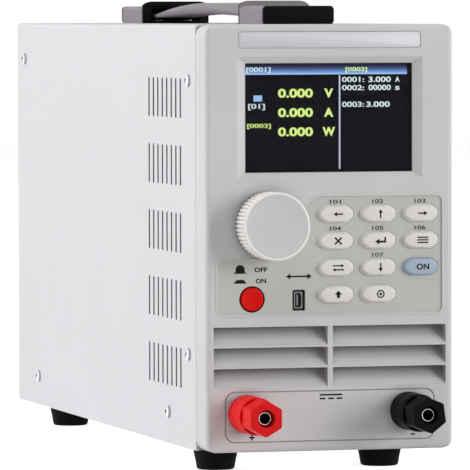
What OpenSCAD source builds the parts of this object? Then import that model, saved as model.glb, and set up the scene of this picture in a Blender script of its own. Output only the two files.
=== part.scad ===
// Bench load for direct current: a tall narrow case with a moulded front, a wrapped sheet cover,
// a carrying strap on top and two binding posts.
// Every module draws with the front face on Y = 0, the case bottom on Z = 0 and the middle on X = 0.
// The whole is then moved so that the feet stand on Z = 0 and the origin is under the middle.
// The stack of fields on the front sets the case height. All sizes are in millimetres.

/* [Case] */
// Width over the case sides
case_w = 120; // [118:0.5:130]
// Depth of the sheet part behind the front
case_d = 364; // [355:1:400]
// Thickness of the cover sheet
cover_t = 1.2; // [0.8:0.1:1.6]
// Outer bend radius of the cover
bend_r = 2; // [1.8:0.1:3.5]
// Thickness of the tray and of the rear panel
sheet_t = 1.5; // [1.2:0.1:2]
// Slack between neighbouring sheet parts
sheet_gap = 0.15; // [0.1:0.05:0.3]
// Slots in one row of the side vents
vent_cols = 8; // [4:1:10]
// Rows of side vents
vent_rows = 5; // [3:1:5]
// Distance from slot to slot along the case
vent_pitch = 8.4; // [7:0.1:9]
// Distance from row to row
vent_row_pitch = 31.8; // [28:0.2:32]
// Length of one slot
vent_len = 19; // [12:0.5:22]
// Width of one slot
vent_slot = 2.4; // [1.5:0.1:3.5]

/* [Front] */
// Depth of the moulded front
bezel_d = 17.6; // [16:0.2:20]
// Corner radius of the front
corner_r = 5.5; // [4:0.5:8]
// Rounding of the front's outer edges
edge_r = 2.5; // [1:0.25:3.5]
// Thickness of the front wall
wall_t = 3; // [2.6:0.1:3.6]
// Thickness of the front's side walls
side_t = 2.5; // [2:0.1:3]
// Visible seam between front and cover
seam = 0.4; // [0.3:0.05:0.8]

/* [Front fields] */
// Terminal field: margin below
term_z0 = 4.6; // [3:0.2:8]
// Terminal field: height
term_h = 23.8; // [22:0.2:28]
// Terminal field: width
term_w = 101.7; // [96:0.5:108]
// Gap from the terminal field to the louvres
gap_louvre = 2.05; // [1.8:0.05:4]
// Rows of louvres
louvre_rows = 3; // [1:1:4]
// Height of one louvre mouth
louvre_h = 8.6; // [7:0.1:9]
// Distance from louvre to louvre
louvre_pitch = 9.65; // [9.6:0.05:11]
// Width over both columns of louvres
louvre_w = 112.6; // [100:0.2:113]
// Post between the two columns
louvre_mid = 2.5; // [1.5:0.1:5]
// Depth of the louvres
louvre_d = 7.6; // [6:0.1:9]
// Gap from the louvres to the control field
gap_control = 5.3; // [4:0.1:8]
// Control field: width
control_w = 109.7; // [108:0.1:111]
// Control field: height at the keys
control_h = 55.5; // [54:0.5:62]
// Control field: height at the power button
control_low_h = 26.4; // [25:0.2:28]
// Gap from the control field to the screen
gap_screen = 7.8; // [6:0.2:12]
// Screen: width of the bevel
bevel_w = 90; // [86:0.5:98]
// Screen: height of the bevel
bevel_h = 56.9; // [54:0.5:62]
// Screen: visible width
screen_w = 80.7; // [74:0.5:84]
// Screen: visible height
screen_h = 50.6; // [46:0.5:53]
// Gap from the screen to the name strip
gap_name = 3.9; // [3:0.1:6]
// Name strip: width
name_w = 88.4; // [60:0.5:100]
// Name strip: height
name_h = 7.8; // [5:0.1:10]
// Margin above the name strip
top_margin = 3.25; // [3:0.05:8]

/* [Controls] */
// Width of a key
key_w = 16.8; // [14:0.1:17.6]
// Height of a key
key_h = 7.7; // [6.5:0.1:8.4]
// Distance from key to key across
key_pitch_x = 20.6; // [20:0.1:21]
// Distance from key to key upwards
key_pitch_z = 12.5; // [11.5:0.1:12.8]
// How far a key stands out of the front
key_out = 2; // [1:0.1:3]
// Travel of a key
key_travel = 1.2; // [0.6:0.1:1.5]
// Gap around a moving control in its opening
control_gap = 0.35; // [0.3:0.05:0.6]
// Radius of the knob at its foot
knob_r = 16; // [14:0.1:16.6]
// Height of the knob
knob_h = 15; // [13:0.5:18]
// Ribs around the knob
knob_ribs = 50; // [30:2:60]
// Radius of the encoder shaft
shaft_r = 3; // [2.5:0.05:3]
// Clearance of turning and sliding fits, on the radius
run_gap = 0.06; // [0.02:0.01:0.09]
// Radius of the power button
power_r = 5.5; // [4.5:0.1:6]
// How far the power button comes out when released
power_travel = 3.5; // [2:0.1:3.8]

/* [Binding posts] */
// Distance between the posts
post_pitch = 78.4; // [74:0.2:80]
// Shift of the pair to the right
post_shift = -1.3; // [-2:0.1:2]
// Height of the posts in their field
post_up = 13.5; // [12.5:0.1:14]
// Radius of the fixed collar
post_r = 8.9; // [8:0.1:9.5]
// Length of the fixed collar
post_base = 8; // [6:0.5:10]
// Radius of the stud
stud_r = 3.1; // [3:0.05:3.3]
// Radius of the plug socket in the stud
jack_r = 2.05; // [2.03:0.01:2.1]
// Depth of the plug socket
jack_depth = 21; // [18:0.5:22]
// Radius of the round part of the thumb nut
nut_r = 8.8; // [8.6:0.05:9.4]
// Length of the round part of the thumb nut
nut_round = 11; // [8:0.5:12]
// Length of the hexagonal part of the thumb nut
nut_hex = 15; // [13:0.5:16]
// Width of the hexagon across its flats
hex_flats = 15; // [14:0.1:15.2]

/* [Feet and handle] */
// Height of a foot
foot_h = 9; // [8:0.5:14]
// Radius of a foot at the case
foot_r = 10.7; // [9.5:0.1:11.5]
// Distance of the left feet from the middle
foot_left = 49.5; // [44:0.5:50]
// Distance of the right feet from the middle
foot_right = 30.5; // [26:0.5:46]
// Length of one handle mount
mount_len = 45; // [40:0.5:55]
// Width of a handle mount
mount_w = 35; // [32:0.5:42]
// Height of a mount at its mouth
mount_h = 11.2; // [10.6:0.1:13]
// Height of a mount at its closed end
mount_low = 8.2; // [7.8:0.1:8.8]
// Length over the whole handle
handle_len = 274; // [250:1:290]
// Distance of the handle behind the front
handle_y = 52; // [45:0.5:60]
// Width of the strap
strap_w = 22; // [18:0.5:23]
// Height of the strap's underside in the middle
strap_low = 4.7; // [4.6:0.1:5.4]
// Height of the strap's top in the middle
strap_top = 10.3; // [9.6:0.1:11]
// Lift of the strap in its mounts
strap_lift = 2; // [1:0.1:2.2]

/* [Cooling] */
// Size of the fan frame
fan_w = 80; // [70:1:84]
// Depth of the fan
fan_d = 25; // [20:1:28]
// Height of the fan's middle
fan_z = 54; // [52:1:62]
// Blades of the fan
fan_blades = 7; // [5:1:9]
// Number of fins of the heatsink
fins = 11; // [7:2:13]
// Length of the heatsink
sink_len = 150; // [120:1:170]

/* [Mains inlet] */
// Distance of the inlet from the middle
inlet_x = 24; // [-28:1:28]
// Height of the inlet's middle
inlet_z = 150; // [135:1:165]
// Thickness of the inlet's flange
inlet_flange = 3; // [2.5:0.1:4]
// Slide of the fuse drawer
drawer_travel = 18; // [10:1:18]

/* [Hidden] */
$fn = 64;
eps = 0.01;
louvre_z0 = term_z0 + term_h + gap_louvre;
louvre_z1 = louvre_z0 + (louvre_rows - 1) * louvre_pitch + louvre_h;
control_z0 = louvre_z1 + gap_control;
control_low_z1 = control_z0 + control_low_h;
control_z1 = control_z0 + control_h;
bevel_z0 = control_z1 + gap_screen;
bevel_z1 = bevel_z0 + bevel_h;
name_z0 = bevel_z1 + gap_name;
case_h = name_z0 + name_h + top_margin;
half_w = case_w / 2;
back = bezel_d + case_d;
inner_w = half_w - cover_t - sheet_gap;
cover_y0 = bezel_d + seam;
screen_z = bevel_z0 + bevel_h / 2;
// Details of the front
name_in = 0.4;
name_r = 1.6;
term_r = 4.5;
groove = 0.5;
slat_lip = 0.25;
slat_gap = 0.5;
slat_t = 1.8;
slat_lap = 0.5;
louvre_rim = 1.5;
field_r = 3.2;
field_fill = 10;
shoulder_r = 9;
swing_lap = 5;
// Depths inside the control field
inlay_in = 0.9;
inlay_t = 0.5;
inlay_y = inlay_in - inlay_t;
lens_t = 1;
lens_gap = 0.1;
rebate_x = 3;
rebate_z = 2;
lcd_t = 4.5;
lcd_lap = 1.5;
flange_gap = 0.3;
flange_t = 1;
flange_grow = 0.8;
tact_y = wall_t + flange_gap + flange_t + key_travel + 0.15;
tact_tip = 0.8;
tact_tip_r = 1.7;
tact_h = 3.5;
tact_w = 6;
board_y = tact_y + tact_tip + tact_h;
board_t = 1.6;
board_back = board_y + board_t;
// Key positions from the control field's right and lower edge
key_from_right = 10.95;
key_from_low = 9.35;
key_x0 = control_w / 2 - key_from_right - 2 * key_pitch_x;
key_z0 = control_z0 + key_from_low;
key_cut_x = 0.2 * key_w;
key_cut_z = 0.3 * key_h;
crown_r = 2.2 * key_h;
crown_long_r = 3 * key_w;
// Knob between the field's left edge and the keys, power button and socket beside it
knob_shift = 0.275;
knob_x = (key_x0 - key_w / 2 - control_w / 2) / 2 + knob_shift;
knob_up = 15.5;
knob_z = control_low_z1 + knob_up;
swing_r = 17;
swing_x = knob_x + swing_r;
power_left = 7.7;
power_x = knob_x - power_left;
power_up = 7.65;
power_z = control_z0 + power_up;
usb_right = 14.9;
usb_x = knob_x + usb_right;
usb_up = 6.9;
usb_z = control_z0 + usb_up;
usb_hole_w = 6.2;
usb_hole_h = 9.7;
usb_w = 3.9;
usb_h = 7.7;
usb_y = 1.5;
usb_shell = 0.4;
usb_bevel = 0.6;
usb_slope = 1.2;
bush_r = shaft_r + 0.7;
encoder_w = 12.5;
encoder_nut_h = 2;
encoder_nut_r = 5.8;
bush_out = 0.8;
knob_gap = 0.6;
knob_skirt = 4.5;
knob_skirt_r = 7.5;
knob_top = 3;
knob_chamfer = 1;
rib_h = 0.9;
rib_w = 1.1;
rib_root = 2;
rib_end = 2;
power_hole_r = power_r + control_gap + 0.25;
power_rod_r = power_r - 2;
power_flange_y = wall_t + power_travel + 0.2;
power_over = 0.8;
power_proud = 0.2;
power_lip = 1.5;
power_lip_t = 1;
power_body_w = 16;
power_body_d = 20;
power_bore = 8;
boss_r = 1.9;
boss_in = 2.2;
// Binding posts
post_z = term_z0 + post_up;
washer_t = 1;
washer_r = 6.5;
washer_gap = 0.05;
washer_room = 0.35;
nut_y = -post_base - 0.3;
nut_front = nut_y - nut_round - nut_hex;
stud_front = nut_front + 3;
stud_rear = 16;
bar_t = 2;
bar_w = 12;
bar_down = 7;
bar_up = 8;
bar_reach = 14;
lock_t = 5;
lock_r = 6.2;
post_hole_r = 5.6;
nut_mouth_r = stud_r + 0.95;
nut_mouth = 6;
red_turn = 30;
black_turn = 22;
// Side screws, as distance behind the front and height
screw_r = 1.5;
screw_gap = 0.1;
head_r = 2.9;
head_h = 1.9;
screw_len = 6;
ear_y = bezel_d + 12.4;
ear_t = 5;
ear_root = 7;
ear_end = 7;
ear_half = 8;
wall_past_ear = 2;
ear_z = [44.4, case_h - 26.1];
tray_screw_front = 50;
tray_screw_rear = 47.3;
tray_screw_y = [bezel_d + tray_screw_front, back - tray_screw_rear];
tray_screw_z = 15;
tray_wall_up = 9;
tab_half = 9;
rear_tab_y = back - 17.4;
rear_tab_z = case_h - 18.6;
side_screws = [
  [ear_y, ear_z[0]],
  [ear_y, ear_z[1]],
  [tray_screw_y[0], tray_screw_z],
  [tray_screw_y[1], tray_screw_z],
  [rear_tab_y, rear_tab_z]
];
rear_screw_x = 50;
// The tray's rear flange ends below the fan, with its screws in it
fan_under = fan_z - fan_w / 2;
rear_flange_gap = 1;
rear_screw_down = 6;
rear_screw_z = fan_under - rear_screw_down;
vent_y0 = bezel_d + 27.9;
vent_z0 = case_h - 25.1;
// Feet
foot_front_in = 4.6;
foot_front_y = bezel_d + foot_front_in;
foot_rear_in = 72;
foot_rear_y = back - foot_rear_in;
foot_tip_r = foot_r - 1.7;
foot_at = [
  [-foot_left, foot_front_y],
  [foot_right, foot_front_y],
  [-foot_left, foot_rear_y],
  [foot_right, foot_rear_y]
];
foot_screw_r = 2;
foot_well_r = 5.2;
foot_well = 4;
foot_head_r = 3.6;
foot_head_h = 2.4;
// Handle, heights measured from the case top
hood_t = 1.2;
hood_r = 2;
frame_r = 4.5;
end_r = 1.5;
hood_gap = 0.1;
floor_t = 1.4;
frame_t = 2;
end_t = 2;
mouth_w = strap_w + 4;
tongue_z0 = 2.9;
tongue_t = 1.7;
lift_room = 2.2;
mouth_top = tongue_z0 + tongue_t + strap_lift + lift_room;
tongue_in = 22;
strap_span = handle_len - 2 * mount_len;
strap_mid = handle_y + handle_len / 2;
top_sag = strap_top - tongue_z0 - tongue_t;
low_sag = strap_low - tongue_z0;
top_arc = (pow(strap_span / 2, 2) + pow(top_sag, 2)) / (2 * top_sag);
low_arc = (pow(strap_span / 2, 2) + pow(low_sag, 2)) / (2 * low_sag);
handle_screw_x = 8;
handle_screw_r = 1.9;
handle_drill = 20;
handle_head_r = 3.4;
handle_head_h = 1.1;
handle_screw_end = 4;
handle_screw_in = 6.5;
// Fan and rear panel
panel_y = back - sheet_t;
fan_y1 = panel_y;
fan_y0 = fan_y1 - fan_d;
fan_wall = 2;
fan_bore = fan_w / 2 - fan_wall;
fan_corner = 3;
fan_hole = 0.4469 * fan_w;
fan_screw_r = 2;
fan_head_r = 3.6;
fan_head_h = 2.2;
fan_screw_len = 12;
stator_r = 0.2 * fan_w;
stator_t = 5;
strut_t = 3;
strut_w = 4;
slot_pitch = 5.5;
slot_w = 3.6;
spoke_w = 4;
axle_r = 1.5;
blade_t = 1.6;
blade_turn = 40;
rotor_y0 = fan_y0 + 2;
rotor_y1 = fan_y1 - stator_t - 0.5;
// Heatsink and power board
sink_w = 88;
sink_y1 = fan_y0 - 10;
sink_y0 = sink_y1 - sink_len;
sink_base = 8;
sink_z1 = fan_z + fan_w / 2;
fin_t = 2.4;
fin_foot = 8;
post_h = 14;
post_in = 6;
post_front = 20;
post_rear = 8;
board_post_r = 3;
transistor_x = 24;
transistor_w = 16;
transistor_len = 21;
transistor_t = 5;
power_z0 = sink_z1 + post_h;
power_w = 100;
cap_r = 8;
cap_h = 25;
bar_rise_y = sink_y0 - 12;
// Mains transformer
trafo_w = 52;
trafo_d = 46;
trafo_h = 44;
trafo_in = 55;
trafo_y = bezel_d + trafo_in;
trafo_flange = 3;
core_in = 10;
coil_in = 9;
coil_end = 2;
coil_down = 8;
// Mains inlet
inlet_w = 31;
inlet_h = 42;
cut_w = 27.4;
cut_h = 37;
inlet_depth = 26;
socket_w = 24.4;
socket_h = 16.6;
socket_depth = 16.5;
socket_cut = 4.5;
socket_up = 7;
socket_z = inlet_z + socket_up;
blade_len = 11;
blade_w = 2;
blade_h = 4;
blade_x = 7;
blade_z = 2.4;
drawer_w = 20;
drawer_h = 9;
drawer_hold = 5;
drawer_len = drawer_travel + drawer_hold;
drawer_down = 12;
drawer_z = inlet_z - drawer_down;
drawer_gap = 0.3;
drawer_lip = 1.2;
drawer_wall = 2;
drawer_floor = 1.5;
drawer_grip_x = 1.5;
drawer_grip_z = 1;
// Moves the whole to its place
post_out = -nut_front;
rear_out = inlet_flange + drawer_lip;
front_y = (post_out - back - rear_out) / 2;

// Helpers for drawing along the axes
module box(x0, x1, y0, y1, z0, z1) {
  translate([x0, y0, z0])
    cube([x1 - x0, y1 - y0, z1 - z0]);
}

module along_y(y0, y1) {
  translate([0, y1, 0])
    rotate([90, 0, 0])
      linear_extrude(height = y1 - y0)
        children();
}

module along_x(x0, x1) {
  translate([x0, 0, 0])
    rotate([90, 0, 90])
      linear_extrude(height = x1 - x0)
        children();
}

module rod_y(r, y0, y1) {
  translate([0, y1, 0])
    rotate([90, 0, 0])
      cylinder(r = r, h = y1 - y0);
}

module rod_x(r, x0, x1) {
  translate([x0, 0, 0])
    rotate([0, 90, 0])
      cylinder(r = r, h = x1 - x0);
}

module round_rect(x0, z0, x1, z1, r) {
  translate([x0 + r, z0])
    square([x1 - x0 - 2 * r, z1 - z0]);
  translate([x0, z0 + r])
    square([x1 - x0, z1 - z0 - 2 * r]);
  for (x = [x0 + r, x1 - r])
    for (z = [z0 + r, z1 - r])
      translate([x, z])
        circle(r);
}

// Upright plate with its two upper corners rounded, standing on zero
module arch_rect(w, h, r) {
  translate([-w / 2, 0])
    square([w, h - r]);
  translate([-w / 2 + r, 0])
    square([w - 2 * r, h]);
  for (x = [-w / 2 + r, w / 2 - r])
    translate([x, h - r])
      circle(r);
}

// Moulded front
module bezel_side() {
  translate([edge_r, 0])
    square([bezel_d - edge_r, case_h]);
  translate([0, edge_r])
    square([bezel_d, case_h - 2 * edge_r]);
  for (z = [edge_r, case_h - edge_r])
    translate([edge_r, z])
      circle(edge_r);
}

module bezel_plan() {
  translate([-half_w, edge_r])
    square([case_w, bezel_d - edge_r]);
  translate([-half_w + edge_r, 0])
    square([case_w - 2 * edge_r, bezel_d]);
  for (x = [-half_w + edge_r, half_w - edge_r])
    translate([x, edge_r])
      circle(edge_r);
}

module bezel_shell() {
  difference() {
    intersection() {
      along_y(0, bezel_d)
        round_rect(-half_w, 0, half_w, case_h, corner_r);
      along_x(-half_w, half_w)
        bezel_side();
      linear_extrude(height = case_h)
        bezel_plan();
    }
    along_y(wall_t, bezel_d + 1)
      round_rect(-half_w + side_t, side_t, half_w - side_t, case_h - side_t, corner_r - 1.5);
  }
}

// Outline of the control field, swinging round the knob
module control_outline(grow) {
  x0 = -control_w / 2 - grow;
  x1 = control_w / 2 + grow;
  round_rect(x0, control_z0 - grow, x1, control_low_z1 + grow, field_r);
  difference() {
    round_rect(swing_x - grow, control_z0 - grow, x1, control_z1 + grow, field_r);
    translate([swing_x - grow - 1, control_z1 + grow - shoulder_r])
      square(shoulder_r + 1);
  }
  translate([swing_x - grow + shoulder_r, control_z1 + grow - shoulder_r])
    circle(shoulder_r);
  translate([x1 - field_fill, control_low_z1 - field_fill])
    square([field_fill, 2 * field_fill]);
  difference() {
    translate([knob_x, control_low_z1 - swing_lap])
      square(swing_r + swing_lap);
    translate([knob_x, control_low_z1 + swing_r])
      circle(swing_r - grow);
  }
}

module term_outline(inset) {
  round_rect(-term_w / 2 + inset, term_z0 + inset, term_w / 2 - inset, term_z0 + term_h - inset,
    term_r - inset);
}

// Long octagon of a key, grown for its opening or its flange
module key_outline(grow) {
  a = key_w / 2 + grow;
  b = key_h / 2 + grow;
  polygon([
    [-a, -b + key_cut_z], [-a + key_cut_x, -b], [a - key_cut_x, -b], [a, -b + key_cut_z],
    [a, b - key_cut_z], [a - key_cut_x, b], [-a + key_cut_x, b], [-a, b - key_cut_z]
  ]);
}

module at_key(col, row) {
  translate([key_x0 + col * key_pitch_x, 0, key_z0 + row * key_pitch_z])
    children();
}

module at_all_keys() {
  for (row = [0:3])
    for (col = [0:(row == 0 ? 1 : 2)])
      at_key(col, row)
        children();
}

module at_knob() {
  translate([knob_x, 0, knob_z])
    children();
}

module at_power() {
  translate([power_x, 0, power_z])
    children();
}

module at_usb() {
  translate([usb_x, 0, usb_z])
    children();
}

module at_post(side) {
  translate([post_shift + side * post_pitch / 2, 0, post_z])
    children();
}

module control_cuts(y0, y1) {
  at_all_keys()
    along_y(y0, y1)
      key_outline(control_gap);
  at_power()
    rod_y(power_hole_r, y0, y1);
  at_usb()
    along_y(y0, y1)
      round_rect(-usb_hole_w / 2, -usb_hole_h / 2, usb_hole_w / 2, usb_hole_h / 2, 0.8);
}

module louvre_column(x0, x1) {
  for (i = [0:louvre_rows - 1])
    box(x0, x1, -1, louvre_d + 1, louvre_z0 + i * louvre_pitch, louvre_z0 + i * louvre_pitch + louvre_h);
}

module louvre_slats(x0, x1) {
  rise = louvre_h - slat_gap;
  for (i = [0:louvre_rows - 1])
    translate([0, 0, louvre_z0 + i * louvre_pitch])
      along_x(x0 - slat_lap, x1 + slat_lap)
        polygon([[slat_lip, -slat_lap], [slat_lip, 0], [louvre_d, rise], [louvre_d, rise - slat_t]]);
}

module board_bosses() {
  for (x = [-control_w / 2 + boss_in, control_w / 2 - boss_in])
    for (z = [control_z0 + boss_in, control_z1 - boss_in])
      translate([x, 0, z])
        rod_y(boss_r, wall_t - 0.5, board_y);
}

module ears() {
  for (z = ear_z)
    for (s = [-1, 1])
      difference() {
        box(s > 0 ? inner_w - ear_t : -inner_w, s > 0 ? inner_w : -inner_w + ear_t,
          bezel_d - ear_root, ear_y + ear_end, z - ear_half, z + ear_half);
        translate([0, ear_y, z])
          rod_x(screw_r + screw_gap, -half_w, half_w);
      }
}

// Block that reaches past the visible screen on all four sides
module behind_screen(past_x, past_z, y0, y1) {
  box(-screen_w / 2 - past_x, screen_w / 2 + past_x, y0, y1,
    screen_z - screen_h / 2 - past_z, screen_z + screen_h / 2 + past_z);
}

module front_bezel() {
  half_l = louvre_w / 2;
  color("gainsboro") {
    difference() {
      union() {
        bezel_shell();
        box(-half_w + side_t - 0.5, half_w - side_t + 0.5, wall_t - 0.5, louvre_d,
          louvre_z0 - louvre_rim, louvre_z1 + louvre_rim);
        board_bosses();
        ears();
      }
      hull() {
        box(-bevel_w / 2, bevel_w / 2, -eps, 0, bevel_z0, bevel_z1);
        box(-screen_w / 2, screen_w / 2, wall_t - lens_t, wall_t - lens_t + eps,
          screen_z - screen_h / 2, screen_z + screen_h / 2);
      }
      behind_screen(rebate_x, rebate_z, wall_t - lens_t, wall_t + 1);
      along_y(-1, name_in)
        round_rect(-name_w / 2, name_z0, name_w / 2, name_z0 + name_h, name_r);
      along_y(-1, inlay_in)
        control_outline(0.1);
      control_cuts(-1, wall_t + 1);
      at_knob()
        rod_y(bush_r + 0.2, -1, wall_t + 1);
      louvre_column(-half_l, -louvre_mid / 2);
      louvre_column(louvre_mid / 2, half_l);
      along_y(-1, groove)
        difference() {
          term_outline(0);
          term_outline(groove);
        }
      for (s = [-1, 1])
        at_post(s)
          rod_y(post_hole_r, -1, wall_t + 1);
    }
    louvre_slats(-half_l, -louvre_mid / 2);
    louvre_slats(louvre_mid / 2, half_l);
  }
}

module screen_window() {
  color("lightblue", 0.4)
    behind_screen(rebate_x - lens_gap, rebate_z - lens_gap, wall_t - lens_t, wall_t);
}

module display_module() {
  color("dimgray")
    behind_screen(rebate_x + lcd_lap, rebate_z + lcd_lap, wall_t, wall_t + lcd_t);
}

module control_overlay() {
  color("silver")
    difference() {
      along_y(inlay_y, inlay_in)
        control_outline(0);
      control_cuts(-1, 2);
    }
}

// Controls behind the front
module key_board() {
  color("darkgreen")
    difference() {
      box(-half_w + side_t + 1.5, half_w - side_t - 1.5, board_y, board_back,
        control_z0 - 1, control_z1 + 1);
      at_power()
        rod_y(power_rod_r + 1, board_y - 1, board_back + 1);
    }
}

module tact_switches() {
  color("black")
    at_all_keys() {
      box(-tact_w / 2, tact_w / 2, tact_y + tact_tip, board_y, -tact_w / 2, tact_w / 2);
      rod_y(tact_tip_r, tact_y, tact_y + tact_tip + eps);
    }
}

module rotary_encoder() {
  color("slategray")
    at_knob() {
      difference() {
        union() {
          box(-encoder_w / 2, encoder_w / 2, wall_t, board_y, -encoder_w / 2, encoder_w / 2);
          rod_y(bush_r, -encoder_nut_h - bush_out, wall_t + eps);
        }
        rod_y(shaft_r + run_gap, -encoder_nut_h - bush_out - 1, board_y - 1.5);
      }
      difference() {
        along_y(-encoder_nut_h, 0)
          circle(r = encoder_nut_r, $fn = 6);
        rod_y(bush_r, -encoder_nut_h - 1, 1);
      }
    }
}

module encoder_shaft() {
  color("lightsteelblue")
    at_knob()
      rod_y(shaft_r, -knob_gap - knob_h + knob_top, board_y - 2);
}

module knob() {
  foot = -knob_gap;
  tip = -knob_gap - knob_h;
  body_r = knob_r - rib_h;
  color("lightgray")
    at_knob()
      difference() {
        union() {
          rod_y(body_r, tip + knob_chamfer, foot);
          translate([0, tip + knob_chamfer, 0])
            rotate([90, 0, 0])
              cylinder(r1 = body_r, r2 = body_r - knob_chamfer, h = knob_chamfer);
          for (i = [0:knob_ribs - 1])
            rotate([0, i * 360 / knob_ribs, 0])
              box(-rib_w / 2, rib_w / 2, tip + rib_end, foot, knob_r - rib_root, knob_r);
        }
        rod_y(shaft_r, tip + knob_top, foot + 1);
        rod_y(knob_skirt_r, foot - knob_skirt, foot + 1);
      }
}

module power_switch() {
  h = power_body_w / 2;
  color("black")
    at_power()
      difference() {
        box(-h, h, board_back, board_back + power_body_d, -h, h);
        rod_y(power_rod_r + run_gap, board_back - 1, board_back + power_bore);
      }
}

module power_button() {
  color("red")
    at_power() {
      rod_y(power_r, -power_proud, power_flange_y + eps);
      rod_y(power_r + power_lip, power_flange_y, power_flange_y + power_lip_t);
      rod_y(power_rod_r, power_flange_y + power_lip_t - eps, board_back + power_bore - power_over - 0.3);
    }
}

module usb_socket() {
  w = usb_w / 2;
  h = usb_h / 2;
  in_w = w - usb_shell;
  in_h = h - usb_shell;
  color("silver")
    at_usb() {
      difference() {
        along_y(usb_y, board_y)
          round_rect(-w, -h, w, h, 0.6);
        along_y(usb_y - 1, board_y - 1.2)
          polygon([[-in_w, -in_h], [in_w - usb_bevel, -in_h], [in_w, -in_h + usb_slope],
            [in_w, in_h - usb_slope], [in_w - usb_bevel, in_h], [-in_w, in_h]]);
      }
      box(-0.5, 0.1, usb_y + 1, board_y - 1, -2.5, 2.5);
    }
}

module key_cap(col, row) {
  at_key(col, row) {
    intersection() {
      along_y(-key_out, wall_t + flange_gap + eps)
        key_outline(0);
      translate([0, crown_r - key_out, 0])
        rod_x(crown_r, -key_w, key_w);
      translate([0, crown_long_r - key_out, -key_h])
        cylinder(r = crown_long_r, h = 2 * key_h);
    }
    along_y(wall_t + flange_gap, wall_t + flange_gap + flange_t)
      key_outline(flange_grow);
  }
}

module key_left() {
  color("whitesmoke")
    key_cap(0, 3);
}

module key_up() {
  color("whitesmoke")
    key_cap(1, 3);
}

module key_right() {
  color("whitesmoke")
    key_cap(2, 3);
}

module key_back() {
  color("whitesmoke")
    key_cap(0, 2);
}

module key_enter() {
  color("whitesmoke")
    key_cap(1, 2);
}

module key_mode() {
  color("whitesmoke")
    key_cap(2, 2);
}

module key_channel() {
  color("whitesmoke")
    key_cap(0, 1);
}

module key_down() {
  color("whitesmoke")
    key_cap(1, 1);
}

module key_on() {
  color("lightskyblue")
    key_cap(2, 1);
}

module key_shift() {
  color("whitesmoke")
    key_cap(0, 0);
}

module key_local() {
  color("whitesmoke")
    key_cap(1, 0);
}

// Binding posts
module post_base_at(side) {
  at_post(side)
    difference() {
      union() {
        rod_y(post_r, -post_base, 0);
        rod_y(post_hole_r - 0.1, -eps, wall_t);
      }
      rod_y(stud_r + 0.05, -post_base - 1, wall_t + 1);
    }
}

module post_stud_at(side) {
  at_post(side)
    difference() {
      rod_y(stud_r, stud_front, stud_rear);
      rod_y(jack_r, stud_front - 1, stud_front + jack_depth);
    }
}

module post_washer_at(side) {
  at_post(side)
    difference() {
      rod_y(washer_r, -post_base - washer_gap - washer_t, -post_base - washer_gap);
      rod_y(stud_r + 0.3, -post_base - 3, 1);
    }
}

module post_nut_at(side, turn) {
  at_post(side)
    rotate([0, turn, 0])
      difference() {
        union() {
          rod_y(nut_r, nut_y - nut_round, nut_y);
          along_y(nut_front, nut_y - nut_round + eps)
            circle(r = hex_flats / sqrt(3), $fn = 6);
        }
        rod_y(stud_r + run_gap, nut_front - 1, nut_y + 1);
        rod_y(nut_mouth_r, nut_front - 1, nut_front + nut_mouth);
        rod_y(washer_r + washer_room, -post_base - washer_t - 3 * washer_gap, nut_y + 1);
      }
}

module red_post_base() {
  color("firebrick")
    post_base_at(-1);
}

module red_post_stud() {
  color("silver")
    post_stud_at(-1);
}

module red_post_washer() {
  color("silver")
    post_washer_at(-1);
}

module red_post_nut() {
  color("red")
    post_nut_at(-1, red_turn);
}

module black_post_base() {
  color("dimgray")
    post_base_at(1);
}

module black_post_stud() {
  color("silver")
    post_stud_at(1);
}

module black_post_washer() {
  color("silver")
    post_washer_at(1);
}

module black_post_nut() {
  color("black")
    post_nut_at(1, black_turn);
}

module post_locknuts() {
  color("goldenrod")
    for (s = [-1, 1])
      at_post(s)
        difference() {
          along_y(wall_t + bar_t, wall_t + bar_t + lock_t)
            circle(r = lock_r, $fn = 6);
          rod_y(stud_r, wall_t, wall_t + bar_t + lock_t + 1);
        }
}

module input_bars() {
  low_z = post_z + bar_up;
  high_z = power_z0 + board_t;
  color("peru")
    for (s = [-1, 1])
      translate([post_shift + s * post_pitch / 2, 0, 0]) {
        difference() {
          box(-bar_w / 2, bar_w / 2, wall_t, wall_t + bar_t, post_z - bar_down, low_z);
          translate([0, 0, post_z])
            rod_y(stud_r, 0, wall_t + bar_t + 1);
        }
        box(-bar_w / 2, bar_w / 2, wall_t, bar_rise_y, low_z - eps, low_z + bar_t);
        box(-bar_w / 2, bar_w / 2, bar_rise_y - bar_t, bar_rise_y, low_z, high_z + bar_t);
        box(-bar_w / 2, bar_w / 2, bar_rise_y - eps, sink_y0 + bar_reach, high_z, high_z + bar_t);
      }
}

// Sheet-metal case
module side_drills(x0, x1) {
  for (p = side_screws)
    translate([0, p[0], p[1]])
      rod_x(screw_r + screw_gap, x0, x1);
}

module case_cover() {
  color("white")
    difference() {
      along_y(cover_y0, back)
        difference() {
          arch_rect(case_w, case_h, bend_r);
          translate([0, -1])
            arch_rect(case_w - 2 * cover_t, case_h - cover_t + 1, bend_r - cover_t);
        }
      side_drills(-half_w - 1, half_w + 1);
      for (col = [0:vent_cols - 1])
        for (row = [0:vent_rows - 1])
          translate([0, vent_y0 + col * vent_pitch, vent_z0 - row * vent_row_pitch - vent_len])
            along_x(-half_w - 1, half_w + 1)
              round_rect(-vent_slot / 2, 0, vent_slot / 2, vent_len, vent_slot / 2 - eps);
      at_handle_screws()
        cylinder(r = handle_screw_r + screw_gap, h = handle_drill, center = true);
    }
}

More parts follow.
